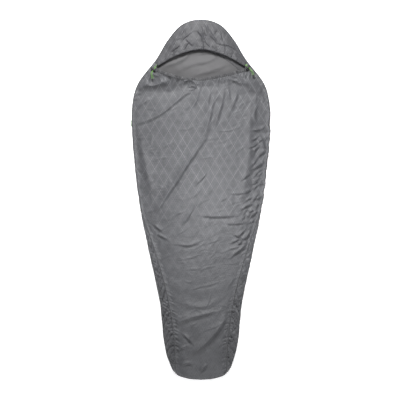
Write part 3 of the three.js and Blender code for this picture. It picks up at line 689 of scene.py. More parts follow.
# ---- folds ----
# Each fold is a ridge with one steep side: (height, width of the gentle side, width of the steep side,
# points), where the points follow the foot of the steep side, in millimetres of the row frame. The steep
# side faces the foot end, or the direction given last.
RIGHT = (1.0, 0.0)
LEFT = (-1.0, 0.0)
FOOT = (0.4, -1.0)
FOLDS = [
    (32, 48, 26, [(-380, 622), (-332, 644), (-250, 656), (-180, 668), (-108, 684)]),
    (8, 15, 7, [(-293, 590), (-335, 556), (-371, 518)]),
    (11, 15, 7, [(-41, 624), (-86, 607), (-142, 563), (-209, 507), (-276, 468), (-348, 440), (-387, 429)]),
    (8, 18, 9, [(92, 618), (72, 550), (59, 479), (38, 410), (20, 356)]),
    (15, 18, 8, [(26, 340), (-14, 285), (-52, 228), (-95, 165), (-131, 105), (-180, 35), (-220, -23),
                 (-252, -55)]),
    (9, 16, 9, [(-210, -30), (-236, -52), (-248, -85)]),
    (7, 11, 5, [(42, 161), (10, 118), (-30, 83)]),
    (6, 11, 5, [(-265, 116), (-300, 86), (-337, 55)]),
    (6, 11, 5, [(-56, -83), (-70, -112), (-86, -139)]),
    (6, 11, 5, [(-28, -10), (-46, -62), (-86, -120), (-110, -160)]),
    (9, 11, 6, [(-279, -151), (-256, -170), (-234, -187)]),
    (7, 11, 6, [(-258, -207), (-228, -222), (-195, -240)]),
    (8, 12, 6, [(-146, -265), (-80, -272), (-40, -264), (-6, -248)]),
    (9, 16, 7, [(-6, -99), (60, -104), (130, -104), (202, -99)]),
    (7, 11, 6, [(143, -142), (200, -146), (268, -139)]),
    (7, 11, 5, [(170, 33), (220, 30), (271, 38)]),
    (8, 11, 6, [(280, -29), (255, -50), (227, -65)]),
    (10, 12, 7, [(340, -70), (307, -92), (282, -118)]),
    (8, 12, 6, [(292, -211), (262, -228), (232, -240)]),
    (9, 14, 7, [(277, -258), (230, -300), (173, -341)]),
    (5, 20, 12, [(69, 491), (50, 400), (6, 312)]),
    (8, 10, 6, [(383, 384), (340, 402), (299, 401)]),
    (8, 10, 6, [(377, 288), (352, 262), (322, 228)]),
    (8, 10, 6, [(372, 214), (345, 196), (312, 176)]),
    (8, 11, 6, [(299, 155), (262, 128), (232, 105)]),
    (7, 10, 6, [(366, 160), (340, 140), (306, 128)]),
    (7, 10, 6, [(345, 96), (318, 104), (288, 116)]),
    (14, 28, 28, [(322, 560), (312, 469), (306, 360), (304, 254), (290, 160), (276, 60), (262, -40)], RIGHT),
    (9, 24, 18, [(-374, 380), (-352, 250), (-330, 150), (-300, 30)], LEFT),
    (24, 40, 28, [(172, 712), (240, 676), (290, 640), (342, 600)], (0.7, -1)),
    (7, 12, 7, [(338, 560), (318, 500), (330, 440)], RIGHT),
    (6, 14, 8, [(60, 640), (48, 560), (30, 480)], RIGHT),
    (7, 14, 8, [(140, 636), (128, 560), (105, 480), (80, 400)], RIGHT),
    (6, 14, 8, [(222, 640), (200, 560), (158, 470)], RIGHT),
    (6, 13, 8, [(-2, 640), (-20, 580), (-50, 520)], RIGHT),
    (8, 10, 6, [(-96, 676), (-66, 690), (-30, 668), (-40, 640), (-74, 634)]),
    (7, 9, 5, [(-72, 650), (-48, 658), (-22, 642)]),
    (9, 9, 6, [(176, 690), (194, 684), (214, 688)]),
    (6, 10, 6, [(165, 646), (168, 612), (176, 579)], RIGHT),
    (13, 22, 13, [(-153, -750), (-110, -720), (-40, -695), (40, -672), (104, -654)]),
    (18, 26, 15, [(-85, -919), (-20, -886), (31, -848), (100, -775), (140, -722), (171, -693)]),
    (6, 22, 14, [(-110, -610), (-30, -636), (60, -622), (120, -580)]),
    (12, 9, 6, [(-105, -789), (-75, -815), (-47, -843)]),
    (11, 9, 6, [(-143, -886), (-112, -870), (-85, -857)]),
    (14, 11, 6, [(-8, -998), (15, -982), (41, -964)]),
    (12, 11, 6, [(-120, -975), (-80, -955), (-40, -962)]),
    (7, 10, 5, [(-89, 933), (-68, 912), (-48, 892)]),
    (6, 10, 6, [(-12, 1006), (6, 968), (26, 929)], RIGHT),
    (6, 10, 6, [(40, 1010), (62, 968), (92, 925)], RIGHT),
    (8, 10, 5, [(-134, 888), (-156, 872), (-178, 855)]),
    (8, 10, 5, [(-183, 904), (-204, 874), (-224, 843)]),
    (7, 9, 5, [(120, 900), (160, 896), (205, 868)]),
    (8, 12, 7, [(192, 690), (215, 672), (240, 668)]),
    (20, 16, 12, [(-240, 729), (-206, 720), (-162, 707), (-108, 690)]),
    (10, 16, 9, [(396, 300), (372, 330), (350, 372)], RIGHT),
    (12, 14, 9, [(398, 180), (372, 196), (336, 190)]),
    (10, 12, 8, [(392, 80), (366, 88), (332, 76)]),
    (12, 14, 8, [(384, 10), (352, 8), (316, -6)]),
    (11, 14, 8, [(372, -64), (340, -84), (300, -104)]),
]
INNER_FOLDS = [
    (5, 18, 9, [(-210, 772), (-150, 790), (-90, 822), (-50, 862)]),
    (4, 16, 8, [(-120, 750), (-40, 786), (40, 800), (110, 836)]),
    (4, 16, 8, [(-20, 728), (70, 748), (160, 782)]),
    (3, 14, 8, [(-60, 846), (20, 852), (90, 870)]),
]


def small_folds(count, seed, inside, slant, sizes, heights, apart, slim=1.0):
    """Short creases at places that inside(draw) gives, with slants in degrees as (middle, spread)."""
    draw = np.random.default_rng(seed)
    folds = []
    taken = []
    while len(folds) < count:
        middle = np.array(inside(draw))
        if any(np.hypot(*(middle - other)) < apart for other in taken):
            continue
        taken.append(middle)
        angle = math.radians(draw.normal(*slant))
        half = draw.uniform(*sizes)
        bow = draw.uniform(-0.2, 0.2) * half
        direction = np.array([math.cos(angle), math.sin(angle)])
        bend = np.array([-direction[1], direction[0]]) * bow
        line = [middle - direction * half, middle + bend, middle + direction * half]
        upper, lower = slim * draw.uniform(6, 13), slim * draw.uniform(3.5, 6)
        folds.append((draw.uniform(*heights), upper, lower, [tuple(p) for p in line]))
    return folds


def on_front(draw):
    yf = draw.uniform(60, 1710)
    return draw.uniform(-0.95, 0.95) * float(front_half_width(yf)), row_y(yf)


def on_right_edge(draw):
    yf = draw.uniform(760, 1480)
    return float(front_half_width(yf)) - draw.uniform(8, 90), row_y(yf)


def on_crown(first, last):
    def inside(draw):
        yf = draw.uniform(1850, 2080)
        return draw.uniform(first, last) * float(half_width(yf)), row_y(yf)
    return inside


def fold_heights(x, y, folds):
    """Sum of the folds' heights at points of the row frame."""
    total = np.zeros(np.shape(x))
    for height, upper, lower, points, *rest in folds:
        facing = rest[0] if rest else FOOT
        line = smooth_path([(*p, 0) for p in points], 4)[:, :2]
        reach = 2.6 * (upper + lower)
        low, high = line.min(axis=0) - reach, line.max(axis=0) + reach
        near = (x > low[0]) & (x < high[0]) & (y > low[1]) & (y < high[1])
        if not near.any():
            continue
        px, py = x[near], y[near]
        best = np.full(px.shape, 1e9)
        signed = np.zeros(px.shape)
        share = np.zeros(px.shape)
        count = len(line) - 1
        for i in range(count):
            step = line[i + 1] - line[i]
            t = np.clip(((px - line[i, 0]) * step[0] + (py - line[i, 1]) * step[1]) / (step @ step), 0, 1)
            dx, dy = px - line[i, 0] - t * step[0], py - line[i, 1] - t * step[1]
            distance = np.hypot(dx, dy)
            normal = np.array([-step[1], step[0]]) / np.linalg.norm(step)
            if normal @ facing > 0:
                normal = -normal
            side = np.where(dx * normal[0] + dy * normal[1] >= 0, 1, -1)
            closer = distance < best
            best = np.where(closer, distance, best)
            signed = np.where(closer, side * distance, signed)
            share = np.where(closer, (i + t) / count, share)
        d = signed - lower
        ridge = np.where(d > 0, np.exp(-((np.abs(d) / upper) ** 1.5)), np.exp(-((d / lower) ** 2)))
        valley = 0.3 * np.exp(-(((d + 2.2 * lower) / (1.3 * lower)) ** 2))
        taper = np.sin(math.pi * np.clip(share, 0.03, 0.97)) ** 0.7
        total[near] += height * taper * (ridge - valley)
    return total


FRONT_FOLDS = [*FOLDS, *small_folds(84, 11, on_front, (28, 22), (20, 66), (1.4, 3.6), 66),
               *small_folds(36, 12, on_right_edge, (32, 22), (12, 30), (6, 12), 25)]
CROWN_FOLDS = [*FOLDS, *small_folds(20, 13, on_crown(-0.9, -0.35), (52, 14), (12, 36), (2.5, 6), 22, 0.75),
               *small_folds(30, 14, on_crown(-0.05, 0.9), (118, 14), (12, 34), (2.5, 6), 24, 0.75)]


def ridged(value):
    return (1 - 2 * np.minimum(np.abs(value), 0.5)) ** 2


def crumple(x, y):
    """Gentle waves and fine wrinkles all over the cloth."""
    wide = 3.6 * noise(x / 170, y / 230, 1) + 2.4 * noise((x + 0.5 * y) / 90, (y - 0.3 * x) / 64, 2)
    patch = smoothstep(noise(x / 140, y / 120, 3), -0.35, 0.6)
    warp = 14 * noise(x / 70, y / 70, 4)
    fine = 1.9 * ridged(noise((x + warp) / 58, (y - 0.45 * x + warp) / 30, 5))
    finer = 0.9 * ridged(noise((x - warp) / 26, (y - 0.4 * x) / 17, 6))
    return wide + patch * (fine + finer)


def hem_gathers(x, below):
    """Folds that run down from the gathered chest hem: below is the distance under it."""
    strength = 1.6 + 3.0 * smoothstep(x, -130, -40) * (1 - smoothstep(x, 300, 350))
    drift = x + 0.22 * below * noise(x / 60, np.zeros_like(x), 9)
    pleats = ridged(noise(drift / 21, below / 90, 8)) + 0.5 * noise(drift / 12, below / 60, 10)
    return strength * pleats * np.exp(-((np.maximum(below, 0) / 52) ** 2))


def gusset_puckers(yf, off, seed):
    """Short folds across a gusset's upper seam, off millimetres away from it."""
    strength = 8.0 * (1 - smoothstep(yf, 330, 560)) + 2.0
    return strength * noise((yf + 0.5 * off) / 13, off / 60, seed) * np.exp(-(((off - 10) / 17) ** 2))


def edge_puckers(yf, off, seed):
    return 2.6 * noise(yf / 24, off / 80, seed) * np.exp(-(((off - 16) / 20) ** 2))


# What the cloth leaves free under a lock, a cord's tail and a cord end: (height below its middle, slope).
LOCK_ROOM = (8.2, 1.0)
TAIL_ROOM = (2.0, 0.7)
END_ROOM = (2.8, 0.7)


def under_locks(x, y):
    """How high the front panel's top may be under the cord locks, through their travel, and their cords."""
    limit = np.full(np.shape(x), 1000.0)
    for lock in LOCKS:
        resting = []
        for out in np.linspace(-13, 20, 9):
            resting += [(lock.at(out, slide), *LOCK_ROOM) for slide in (-10, -5, 0, 5, 10)]
        for out in (-1, 1):
            resting += [(place, *TAIL_ROOM) for place in resampled(lock.tail(out), step=3.0)]
        resting += [(lock.tail_end + down * lock.end_down, *END_ROOM) for down in np.linspace(-2, 10, 5)]
        for point, below, slope in resting:
            away = np.maximum(np.hypot(x - point[0], y - point[1]) - 3, 0)
            limit = np.minimum(limit, point[2] - below + slope * away)
    return limit


def front_folds(x, y):
    """Height of the front panel's folds over its plain shape."""
    yf = y + LENGTH / 2
    off = front_half_width(yf) - np.abs(x)
    side = np.where(x > 0, 21.0, 22.0)
    at_gusset = yf < GUSSET_START - 40
    puckers = np.where(at_gusset, gusset_puckers(yf, off, side), edge_puckers(yf, off, side))
    below = chest_line(x) - yf
    plain = fold_heights(x, y, FRONT_FOLDS) + crumple(x, y) + hem_gathers(x, below)
    inside = smoothstep(off, 1, 34) * smoothstep(yf - foot_edge(x), 3, 36)
    height = plain * inside + puckers * smoothstep(off, 0, 8) * smoothstep(yf - foot_edge(x), 3, 20)
    base = front_height(x, yf)
    height = np.minimum(height, under_locks(x, y) - base - CLOTH_TOP)
    return np.maximum(height, -0.5 * (base - EDGE_Z))


def crown_folds(x, y):
    yf = y + LENGTH / 2
    off = edge_distance(x, yf)
    above = yf - rim_line(x)
    gathers = 2.3 * noise(x / 17, above / 70, 31) * np.exp(-((np.maximum(above, 0) / 36) ** 2))
    puckers = 1.1 * noise(np.arctan2(x, y - 780) * 14, off / 60, 32) * np.exp(-(((off - 13) / 12) ** 2))
    plain = 0.8 * crumple(x, y + 400) + fold_heights(x, y, CROWN_FOLDS) + gathers + puckers
    room = crown_height(x, yf) - EDGE_Z
    return np.maximum(plain * smoothstep(room, 4, 15), -0.45 * room)


def front_top(x, yf):
    return front_height(x, yf) + CLOTH_TOP + front_folds(x, row_y(yf))


def crown_top(x, yf):
    return crown_height(x, yf) + CLOTH_TOP + crown_folds(x, row_y(yf))


# ---- cloth panels ----
def coons(bottom, top, left, right):
    """Points inside four edge lines: bottom and top run left to right, left and right run upwards."""
    s = np.linspace(0, 1, len(bottom))[None, :, None]
    t = np.linspace(0, 1, len(left))[:, None, None]
    ruled = (1 - t) * bottom[None] + t * top[None] + (1 - s) * left[:, None] + s * right[:, None]
    corners = (1 - t) * ((1 - s) * bottom[0] + s * bottom[-1]) + t * ((1 - s) * top[0] + s * top[-1])
    return ruled - corners


def grid_quads(rows, columns):
    i, j = np.meshgrid(np.arange(rows - 1), np.arange(columns - 1), indexing="ij")
    first = i * columns + j
    return np.stack([first, first + 1, first + columns + 1, first + columns], axis=-1).reshape(-1, 4)


def cloth(name, upper, lower, material, flip=False, lining=None):
    """A closed piece of cloth between two grids of points, with a lining material on its lower side."""
    rows, columns = upper.shape[:2]
    size = rows * columns
    top = grid_quads(rows, columns)
    faces = np.concatenate([top, top[:, ::-1] + size]).tolist()
    rim = list(range(columns))
    rim += [k * columns + columns - 1 for k in range(1, rows)]
    rim += [(rows - 1) * columns + k for k in range(columns - 2, -1, -1)]
    rim += [k * columns for k in range(rows - 2, 0, -1)]
    for k, p in enumerate(rim):
        q = rim[(k + 1) % len(rim)]
        faces.append([q, p, p + size, q + size])
    if flip:
        faces = [face[::-1] for face in faces]
    piece = mesh_piece(name, np.concatenate([upper.reshape(-1, 3), lower.reshape(-1, 3)]), faces, material)
    if lining:
        piece.data.materials.append(lining)
        for face in piece.data.polygons[len(top):2 * len(top)]:
            face.material_index = 1
    return piece


def mirrored(line):
    return line * np.array([-1, 1])


def outline_part(start, end):
    """The panels' right edge between two distances from the foot, as (x, yf)."""
    yf = np.linspace(start, end, 300)
    return joined(np.interp(yf, CLOTH_EDGE[:, 1], CLOTH_EDGE[:, 0]), yf)


def end_arc(corner_yf, top):
    """The panels' end line from left to right, beyond the corner on the right side."""
    beyond = CLOTH_EDGE[CLOTH_EDGE[:, 1] > corner_yf] if top else CLOTH_EDGE[CLOTH_EDGE[:, 1] < corner_yf]
    corner = [[float(np.interp(corner_yf, CLOTH_EDGE[:, 1], CLOTH_EDGE[:, 0])), corner_yf]]
    half = np.concatenate([corner, beyond if top else beyond[::-1]])
    half = half[half[:, 0] >= 0]
    return np.concatenate([mirrored(half), half[::-1]])


def hem_side(line, side, reach):
    """A panel's edge beside a hem, out to x = reach on both sides."""
    x = np.linspace(-reach, reach, 400)
    at = np.clip(np.abs(x), 0, MOUTH_CORNER - 1)
    slope = line(at + 1) - line(at)
    return joined(x, line(at) + side * (HEM_WIDTH / 2 + 0.3) * np.hypot(1, slope))


def panel_grid(bottom, top, right, columns):
    """Points inside a panel's end lines and its right edge, mirrored for the left one."""
    return coons(resampled(bottom, count=columns), resampled(top, count=columns), mirrored(right), right)


def lifted(grid, height):
    """Points of the row frame from a grid of (x, yf)."""
    return joined(grid[..., 0], row_y(grid[..., 1]), height)


def corner_reach(line, side):
    """Where the straight part of a panel's edge beside a hem meets the outline: its x and yf."""
    yf = hem_side(line, side, MOUTH_CORNER + 5)[-1, 1]
    return float(np.interp(yf, CLOTH_EDGE[:, 1], CLOTH_EDGE[:, 0])), float(yf)


GRID = 4.2
BODY_LONG = 1700
BODY_WIDE = 760
COARSE = 2  # the simulation's grid has every second point
BENDING = 0.3
SPARE = 0.02
SETTLING_FRAMES = 24
FURTHEST = 9.0
HEAD_CORNER = 2020.0  # the panels' end lines start at these distances from the foot end
FOOT_CORNER = 60.0

chest_reach, chest_yf = corner_reach(chest_line, -1)
rim_reach, rim_yf = corner_reach(rim_line, 1)


def points_along(length, denser=1.0):
    """How many points a grid has along a length."""
    return int(length / GRID * denser)


def settled(start):
    """How far a grid of points moves in a short cloth simulation, in which the cloth has a little spare
    length and buckles between its fixed edges."""
    rows, columns = start.shape[:2]
    sheet = mesh_piece("settling_cloth", start.reshape(-1, 3), grid_quads(rows, columns).tolist(), OUTER)
    edge = np.zeros((rows, columns), bool)
    edge[[0, -1]] = True
    edge[:, [0, -1]] = True
    group = sheet.vertex_groups.new(name="fixed")
    group.add([int(k) for k in np.flatnonzero(edge)], 1.0, "REPLACE")
    cloth_modifier = sheet.modifiers.new("settle", "CLOTH")
    settings = cloth_modifier.settings
    settings.vertex_group_mass = "fixed"
    settings.quality = 6
    settings.mass = 0.12
    settings.air_damping = 3
    settings.tension_stiffness = settings.compression_stiffness = 20
    settings.shear_stiffness = 8
    settings.bending_stiffness = BENDING
    settings.shrink_min = -SPARE
    settings.effector_weights.gravity = 0.15
    cloth_modifier.collision_settings.use_collision = False
    cloth_modifier.point_cache.frame_end = SETTLING_FRAMES
    scene = bpy.context.scene
    scene.frame_end = max(scene.frame_end, SETTLING_FRAMES)
    for frame_number in range(1, SETTLING_FRAMES + 1):
        scene.frame_set(frame_number)
    evaluated = sheet.evaluated_get(bpy.context.evaluated_depsgraph_get())
    after = np.empty(rows * columns * 3)
    evaluated.data.vertices.foreach_get("co", after)
    after = after.reshape(start.shape) / MM
    bpy.data.objects.remove(sheet)
    scene.frame_set(1)
    move = after - start
    size = np.linalg.norm(move, axis=-1, keepdims=True)
    return move * np.minimum(1, FURTHEST / np.maximum(size, 1e-6))


def spread(move, rows, columns):
    """A coarse grid's moves, on a finer grid of the same sheet."""
    at_rows = np.linspace(0, move.shape[0] - 1, rows)
    at_columns = np.linspace(0, move.shape[1] - 1, columns)

    def cubic(values, at):
        i = np.clip(np.floor(at).astype(int), 0, len(values) - 2)
        f = (at - i).reshape(-1, *([1] * (values.ndim - 1)))
        a, b = values[np.maximum(i - 1, 0)], values[i]
        c, d = values[i + 1], values[np.minimum(i + 2, len(values) - 1)]
        return b + 0.5 * f * (c - a + f * (2 * a - 5 * b + 4 * c - d + f * (3 * (b - c) + d - a)))

    return np.swapaxes(cubic(np.swapaxes(cubic(move, at_rows), 0, 1), at_columns), 0, 1)


def front_panel():
    bottom_x = np.linspace(-146, 146, 200)
    bottom = joined(bottom_x, foot_edge(bottom_x) + 2.8)
    seam = GUSSET_SEAM[:, :2]
    seam = seam[seam[:, 1] > bottom[-1, 1] + 1][:-1]
    right = np.concatenate([bottom[-1:], seam, outline_part(GUSSET_START, chest_yf)])
    rows = COARSE * int(BODY_LONG / GRID / COARSE) + 1
    columns = COARSE * int(BODY_WIDE / GRID / COARSE) + 1
    edge = hem_side(chest_line, -1, chest_reach)
    grid = panel_grid(bottom, edge, resampled(right, count=rows), columns)
    upper = lifted(grid, front_top(grid[..., 0], grid[..., 1]))
    move = settled(upper[::COARSE, ::COARSE])
    upper = upper + spread(move, rows, columns)
    return cloth("front_cloth", upper, upper - np.array([0, 0, CLOTH]), OUTER, lining=INNER)


def crown():
    right = resampled(outline_part(rim_yf, HEAD_CORNER), count=points_along(340))
    edge = hem_side(rim_line, 1, rim_reach)
    grid = panel_grid(edge, end_arc(HEAD_CORNER, True), right, points_along(900))
    top = crown_top(grid[..., 0], grid[..., 1])
    return cloth("hood_cloth", lifted(grid, top), lifted(grid, top - CLOTH), CROWN_SHADED_CLOTH, lining=INNER)


def flange(x, yf):
    return FLANGE_RISE * np.clip(1 - edge_distance(x, yf) / (FLANGE_WIDTH - 12), 0, 1)


def inner_waves(x, yf):
    """Soft waves of the cloth that lies on the floor, which never goes below it."""
    waves = 2.2 * noise(x / 95, yf / 80, 41) + 1.2 * noise((x + 0.6 * yf) / 46, (yf - 0.5 * x) / 60, 42)
    calm = smoothstep(edge_distance(x, yf), 34, 70)
    raised = 5 * np.exp(-(((yf - 1850) / 90) ** 2)) + fold_heights(x, row_y(yf), INNER_FOLDS)
    return np.maximum(0, 1.2 + waves + raised) * calm


def neck_edge(off):
    """The back panels' edge at the seam between them, off millimetres towards the head."""
    reach = float(np.interp(NECK_END_YF, CLOTH_EDGE[:, 1], CLOTH_EDGE[:, 0]))
    x = np.linspace(-1, 1, 300) * reach
    return joined(x, neck_seam(x) + off)


def floor_panel(name, grid, material):
    x, yf = grid[..., 0], grid[..., 1]
    low = flange(x, yf) + inner_waves(x, yf)
    return cloth(name, lifted(grid, low + CLOTH), lifted(grid, low), material)


def back_panel():
    neck = neck_edge(-0.4)
    right = resampled(outline_part(FOOT_CORNER, neck[-1, 1]), count=points_along(1720, 0.7))
    grid = panel_grid(end_arc(FOOT_CORNER, False), neck, right, points_along(BODY_WIDE, 0.7))
    return floor_panel("back_cloth", grid, INNER)


def hood_back():
    neck = neck_edge(0.4)
    right = resampled(outline_part(neck[-1, 1], HEAD_CORNER), count=points_along(300))
    grid = panel_grid(neck, end_arc(HEAD_CORNER, True), right, points_along(640))
    return floor_panel("hood_back_cloth", grid, HOOD_LINING_SHADED)


def side_panel(name, side):
    rows, columns = points_along(920, 1.3), points_along(90, 1.3)
    yf = np.linspace(36.2, GUSSET_START - 12, rows)[:, None]
    t = np.linspace(0, 1, columns)[None, :]
    inner_x = front_half_width(np.maximum(yf, 41)) + 0.9
    outer_x = half_width(yf) - SEAM_GAP
    inner_z = np.maximum(seam_height(yf) - 1, EDGE_Z + 1)
    run, fall = outer_x - inner_x, inner_z - EDGE_Z
    normal_x, normal_z = fall / np.hypot(run, fall), run / np.hypot(run, fall)
    seed = 21.0 if side > 0 else 22.0
    off = t * np.hypot(run, fall)
    bulge = 0.07 * np.hypot(run, fall) * np.sin(math.pi * t)
    puckers = gusset_puckers(yf, off, seed) * smoothstep(off, 0, 8)
    slant = 14.0 * noise((yf + 1.5 * off) / 30, off / 150, seed + 5)
    slant = slant + 5.0 * noise((yf - 0.8 * off) / 15, off / 110, seed + 6)
    folds = (bulge + puckers + slant * smoothstep(off, 2, 18)) * smoothstep(np.hypot(run, fall) - off, 0, 10)
    folds = folds * smoothstep(yf, 40, 70)
    folds = np.maximum(folds, -0.3 * np.hypot(run, fall) * smoothstep(off, 0, 20))
    line = joined(side * (inner_x + run * t), row_y(yf), inner_z - fall * t)
    normal = joined(side * normal_x, 0.0, normal_z)
    upper = line + normal * (CLOTH_TOP + folds)[..., None]
    return cloth(name, upper, upper - normal * CLOTH, OUTER, flip=side < 0)


def foot_wall():
    rows, columns = 12, points_along(290, 1.3)
    x = np.linspace(-147.5, 147.5, columns)[None, :]
    t = np.linspace(0, 1, rows)[:, None]
    y = foot_edge(x) + SEAM_GAP + 0.3 + 1.6 * t
    z = EDGE_Z - 0.5 + (float(seam_height(0)) - EDGE_Z + 1.2) * t
    out = (1.6 + 1.8 * noise(x / 24, t * 1.4, 51)) * np.sin(math.pi * t) + 0 * x
    upper = joined(x, row_y(y - out), z)
    lower = upper + np.array([0, CLOTH, 0])
    return cloth("foot_cloth", upper, lower, OUTER)


def corner_tab(name, side):
    rows, columns = points_along(60, 1.5), 12
    start, end = chest_yf + 0.6, rim_yf + 3.5
    yf = np.linspace(start, end, rows)[:, None]
    t = np.linspace(0, 1, columns)[None, :]
    inner = MOUTH_CORNER + 3
    outer = np.interp(yf, CLOTH_EDGE[:, 1], CLOTH_EDGE[:, 0])
    x = inner + (outer - inner) * t
    z = EDGE_Z + CLOTH_TOP - 1.8 * smoothstep(yf, rim_yf - 6, rim_yf) + 2 * (1 - t)
    z = z + 1.2 * noise(x / 22, yf / 18, 61) * np.sin(math.pi * t)
    upper = joined(side * x, row_y(yf), z)
    return cloth(name, upper, upper - np.array([0, 0, CLOTH]), OUTER, flip=side < 0)


front = set_down(front_panel(), "shell_cloth", "front_panel")
hood_cloth = lift_with_hood(crown(), "shell_cloth", "hood_crown")
back = set_down(back_panel(), "inside_cloth", "back_panel")
hood_lining = set_down(hood_back(), "inside_cloth", "hood_back")
SIDES = ((-1, "left"), (1, "right"))
gussets = [set_down(side_panel(f"{word}_gusset", side), "shell_cloth", f"side_panel_{word}")
           for side, word in SIDES]
foot = set_down(foot_wall(), "shell_cloth", "foot_panel")
tabs = [set_down(corner_tab(f"{word}_corner", side), "shell_cloth", f"corner_tab_{word}")
        for side, word in SIDES]


# ---- hems ----
HEM_HALF = HEM_WIDTH / 2 + 1.6  # overlaps the panel's edge


def hem_path(line, top, side):
    """A hem's middle line, level with the edge of the panel that it ends."""
    x = np.linspace(-MOUTH_CORNER, MOUTH_CORNER, 500)
    edge = hem_side(line, side, MOUTH_CORNER)
    z = top(x, np.interp(x, edge[:, 0], edge[:, 1]))
    return resampled(joined(x, row_y(line(x)), z - CLOTH_TOP + 1), step=2.0)


def ruffles(seed, depth):
    def swell(s, angle):
        top = 1 + 0 * angle
        return top - depth * ridged(noise(s / 13, 0 * s, seed)) * np.abs(np.cos(angle)) ** 0.5 - 0.04 * (
            np.abs(np.sin(math.pi * s / 4.5)) < 0.3)
    return swell


rim_path = hem_path(rim_line, crown_top, 1)
chest_path = hem_path(chest_line, front_top, -1)
hood_hem = tube("rim_hem", rim_path, HEM_HALF, HEM_THICKNESS / 2, CROWN_SHADED_CLOTH, 16, ruffles(71, 0.12), 0.75)
lift_with_hood(hood_hem, "shell_cloth", "hood_hem")
chest_hem = set_down(tube("chest_edge_hem", chest_path, HEM_HALF, HEM_THICKNESS / 2, CHEST_HEM_SHADED_CLOTH, 16,
                          ruffles(72, 0.12), 0.75), "shell_cloth", "chest_hem")
inner_cord = tube("rim_cord", rim_path, CORD / 2, CORD / 2, GREEN, 8)
lift_with_hood(inner_cord, "green_cord", "hood_drawcord")
set_down(tube("chest_cord", chest_path, CORD / 2, CORD / 2, ELASTIC, 8), "elastic_cord", "chest_elastic")


# ---- seams ----
SEAM_OUT = 1.1  # how far outside the outline the edge seams' middle is
SEAM_HALF = 2.3  # half width and half height of the edge seams
SEAM_UP = 3.0
TOP_SEAM_HALF = 1.7  # the same of the seams over the gussets and the foot
TOP_SEAM_UP = 1.1
SEAM_STEP = 1.3
HOOD_SEAM_START = 1824.0


def piping(name, path, across, up, nodes, round_ends=2.0):
    path = resampled(path, step=SEAM_STEP)
    piece = tube(name, path, across, up, THREAD, 10, stitched(0.1, 5.2, 3), 0.7, round_ends)
    return set_down(piece, "seam_thread", *nodes)


def edge_path(side, start, end):
    yf = np.linspace(start, end, 600)
    line = inset_line(joined(half_width(yf), yf), -SEAM_OUT)
    return joined(side * line[:, 0], row_y(line[:, 1]), EDGE_Z)


for side, word in SIDES:
    edge = edge_path(side, GUSSET_START, HOOD_SEAM_START + 3.5)
    piping(f"{word}_side_piping", edge, SEAM_HALF, SEAM_UP, [f"side_seam_{word}"])
    edge = edge_path(side, 39, GUSSET_START - 2)
    piping(f"{word}_gusset_piping", edge, SEAM_HALF, SEAM_UP, [f"gusset_base_seam_{word}"])
    yf = np.linspace(50, GUSSET_START - 8, 500)
    z = seam_height(yf) + CLOTH_TOP + TOP_SEAM_UP
    top = joined(side * (front_half_width(yf) + 0.6), row_y(yf), z)
    piping(f"{word}_gusset_seam", top, TOP_SEAM_HALF, TOP_SEAM_UP, [f"gusset_top_seam_{word}"])


def end_path(top):
    if top:
        line = OUTLINE[OUTLINE[:, 1] > HOOD_SEAM_START, :2]
    else:
        line = OUTLINE[(OUTLINE[:, 1] < 38) & (OUTLINE[:, 0] < 160), :2]
    line = inset_line(line, -SEAM_OUT)
    line = line[line[:, 0] >= 0]
    halves = [line, mirrored(line)[::-1]] if top else [mirrored(line)[::-1], line]
    whole = np.concatenate(halves)
    return joined(whole[:, 0], row_y(whole[:, 1]), EDGE_Z)


piping("hood_piping", end_path(True), SEAM_HALF, SEAM_UP, ["hood_edge_seam"])
piping("foot_piping", end_path(False), SEAM_HALF, SEAM_UP, ["foot_base_seam"])
foot_x = np.linspace(-140, 140, 200)
foot_line = joined(foot_x, row_y(foot_edge(foot_x) + 2.6), float(seam_height(0)) + 2.4)
piping("foot_seam", foot_line, TOP_SEAM_HALF, TOP_SEAM_UP, ["foot_top_seam"])
neck_x = np.linspace(-236, 236, 300)
neck_z = flange(neck_x, neck_seam(neck_x)) + inner_waves(neck_x, neck_seam(neck_x)) + CLOTH + 0.7
piping("neck_piping", joined(neck_x, row_y(neck_seam(neck_x)), neck_z), 2.0, 0.7, ["neck_seam"])

# ---- stitches ----
STITCH_PITCH = 4.2
STITCH_LENGTH = 3.0
STITCH_RADIUS = 0.45
IN_HEM = 5.0  # rows' distances from a hem's middle line
IN_PANEL = 12.0
IN_CROWN_EDGE = 10.0  # and from the outline or a seam
IN_SIDE_EDGE = 7.0
IN_GUSSET_SEAM = 5.0


def dropped(points, cloths):
    """The points let down onto the cloths, and which of them land on one."""
    bpy.context.view_layer.update()
    out = np.array(points, float)
    landed = np.zeros(len(out), bool)
    for i, (x, y, _) in enumerate(out):
        for piece in cloths:
            hit, place, _, _ = piece.ray_cast((x * MM, y * MM, 0.2), (0, 0, -1))
            if hit:
                out[i, 2] = place.z / MM
                landed[i] = True
                break
    return out, landed


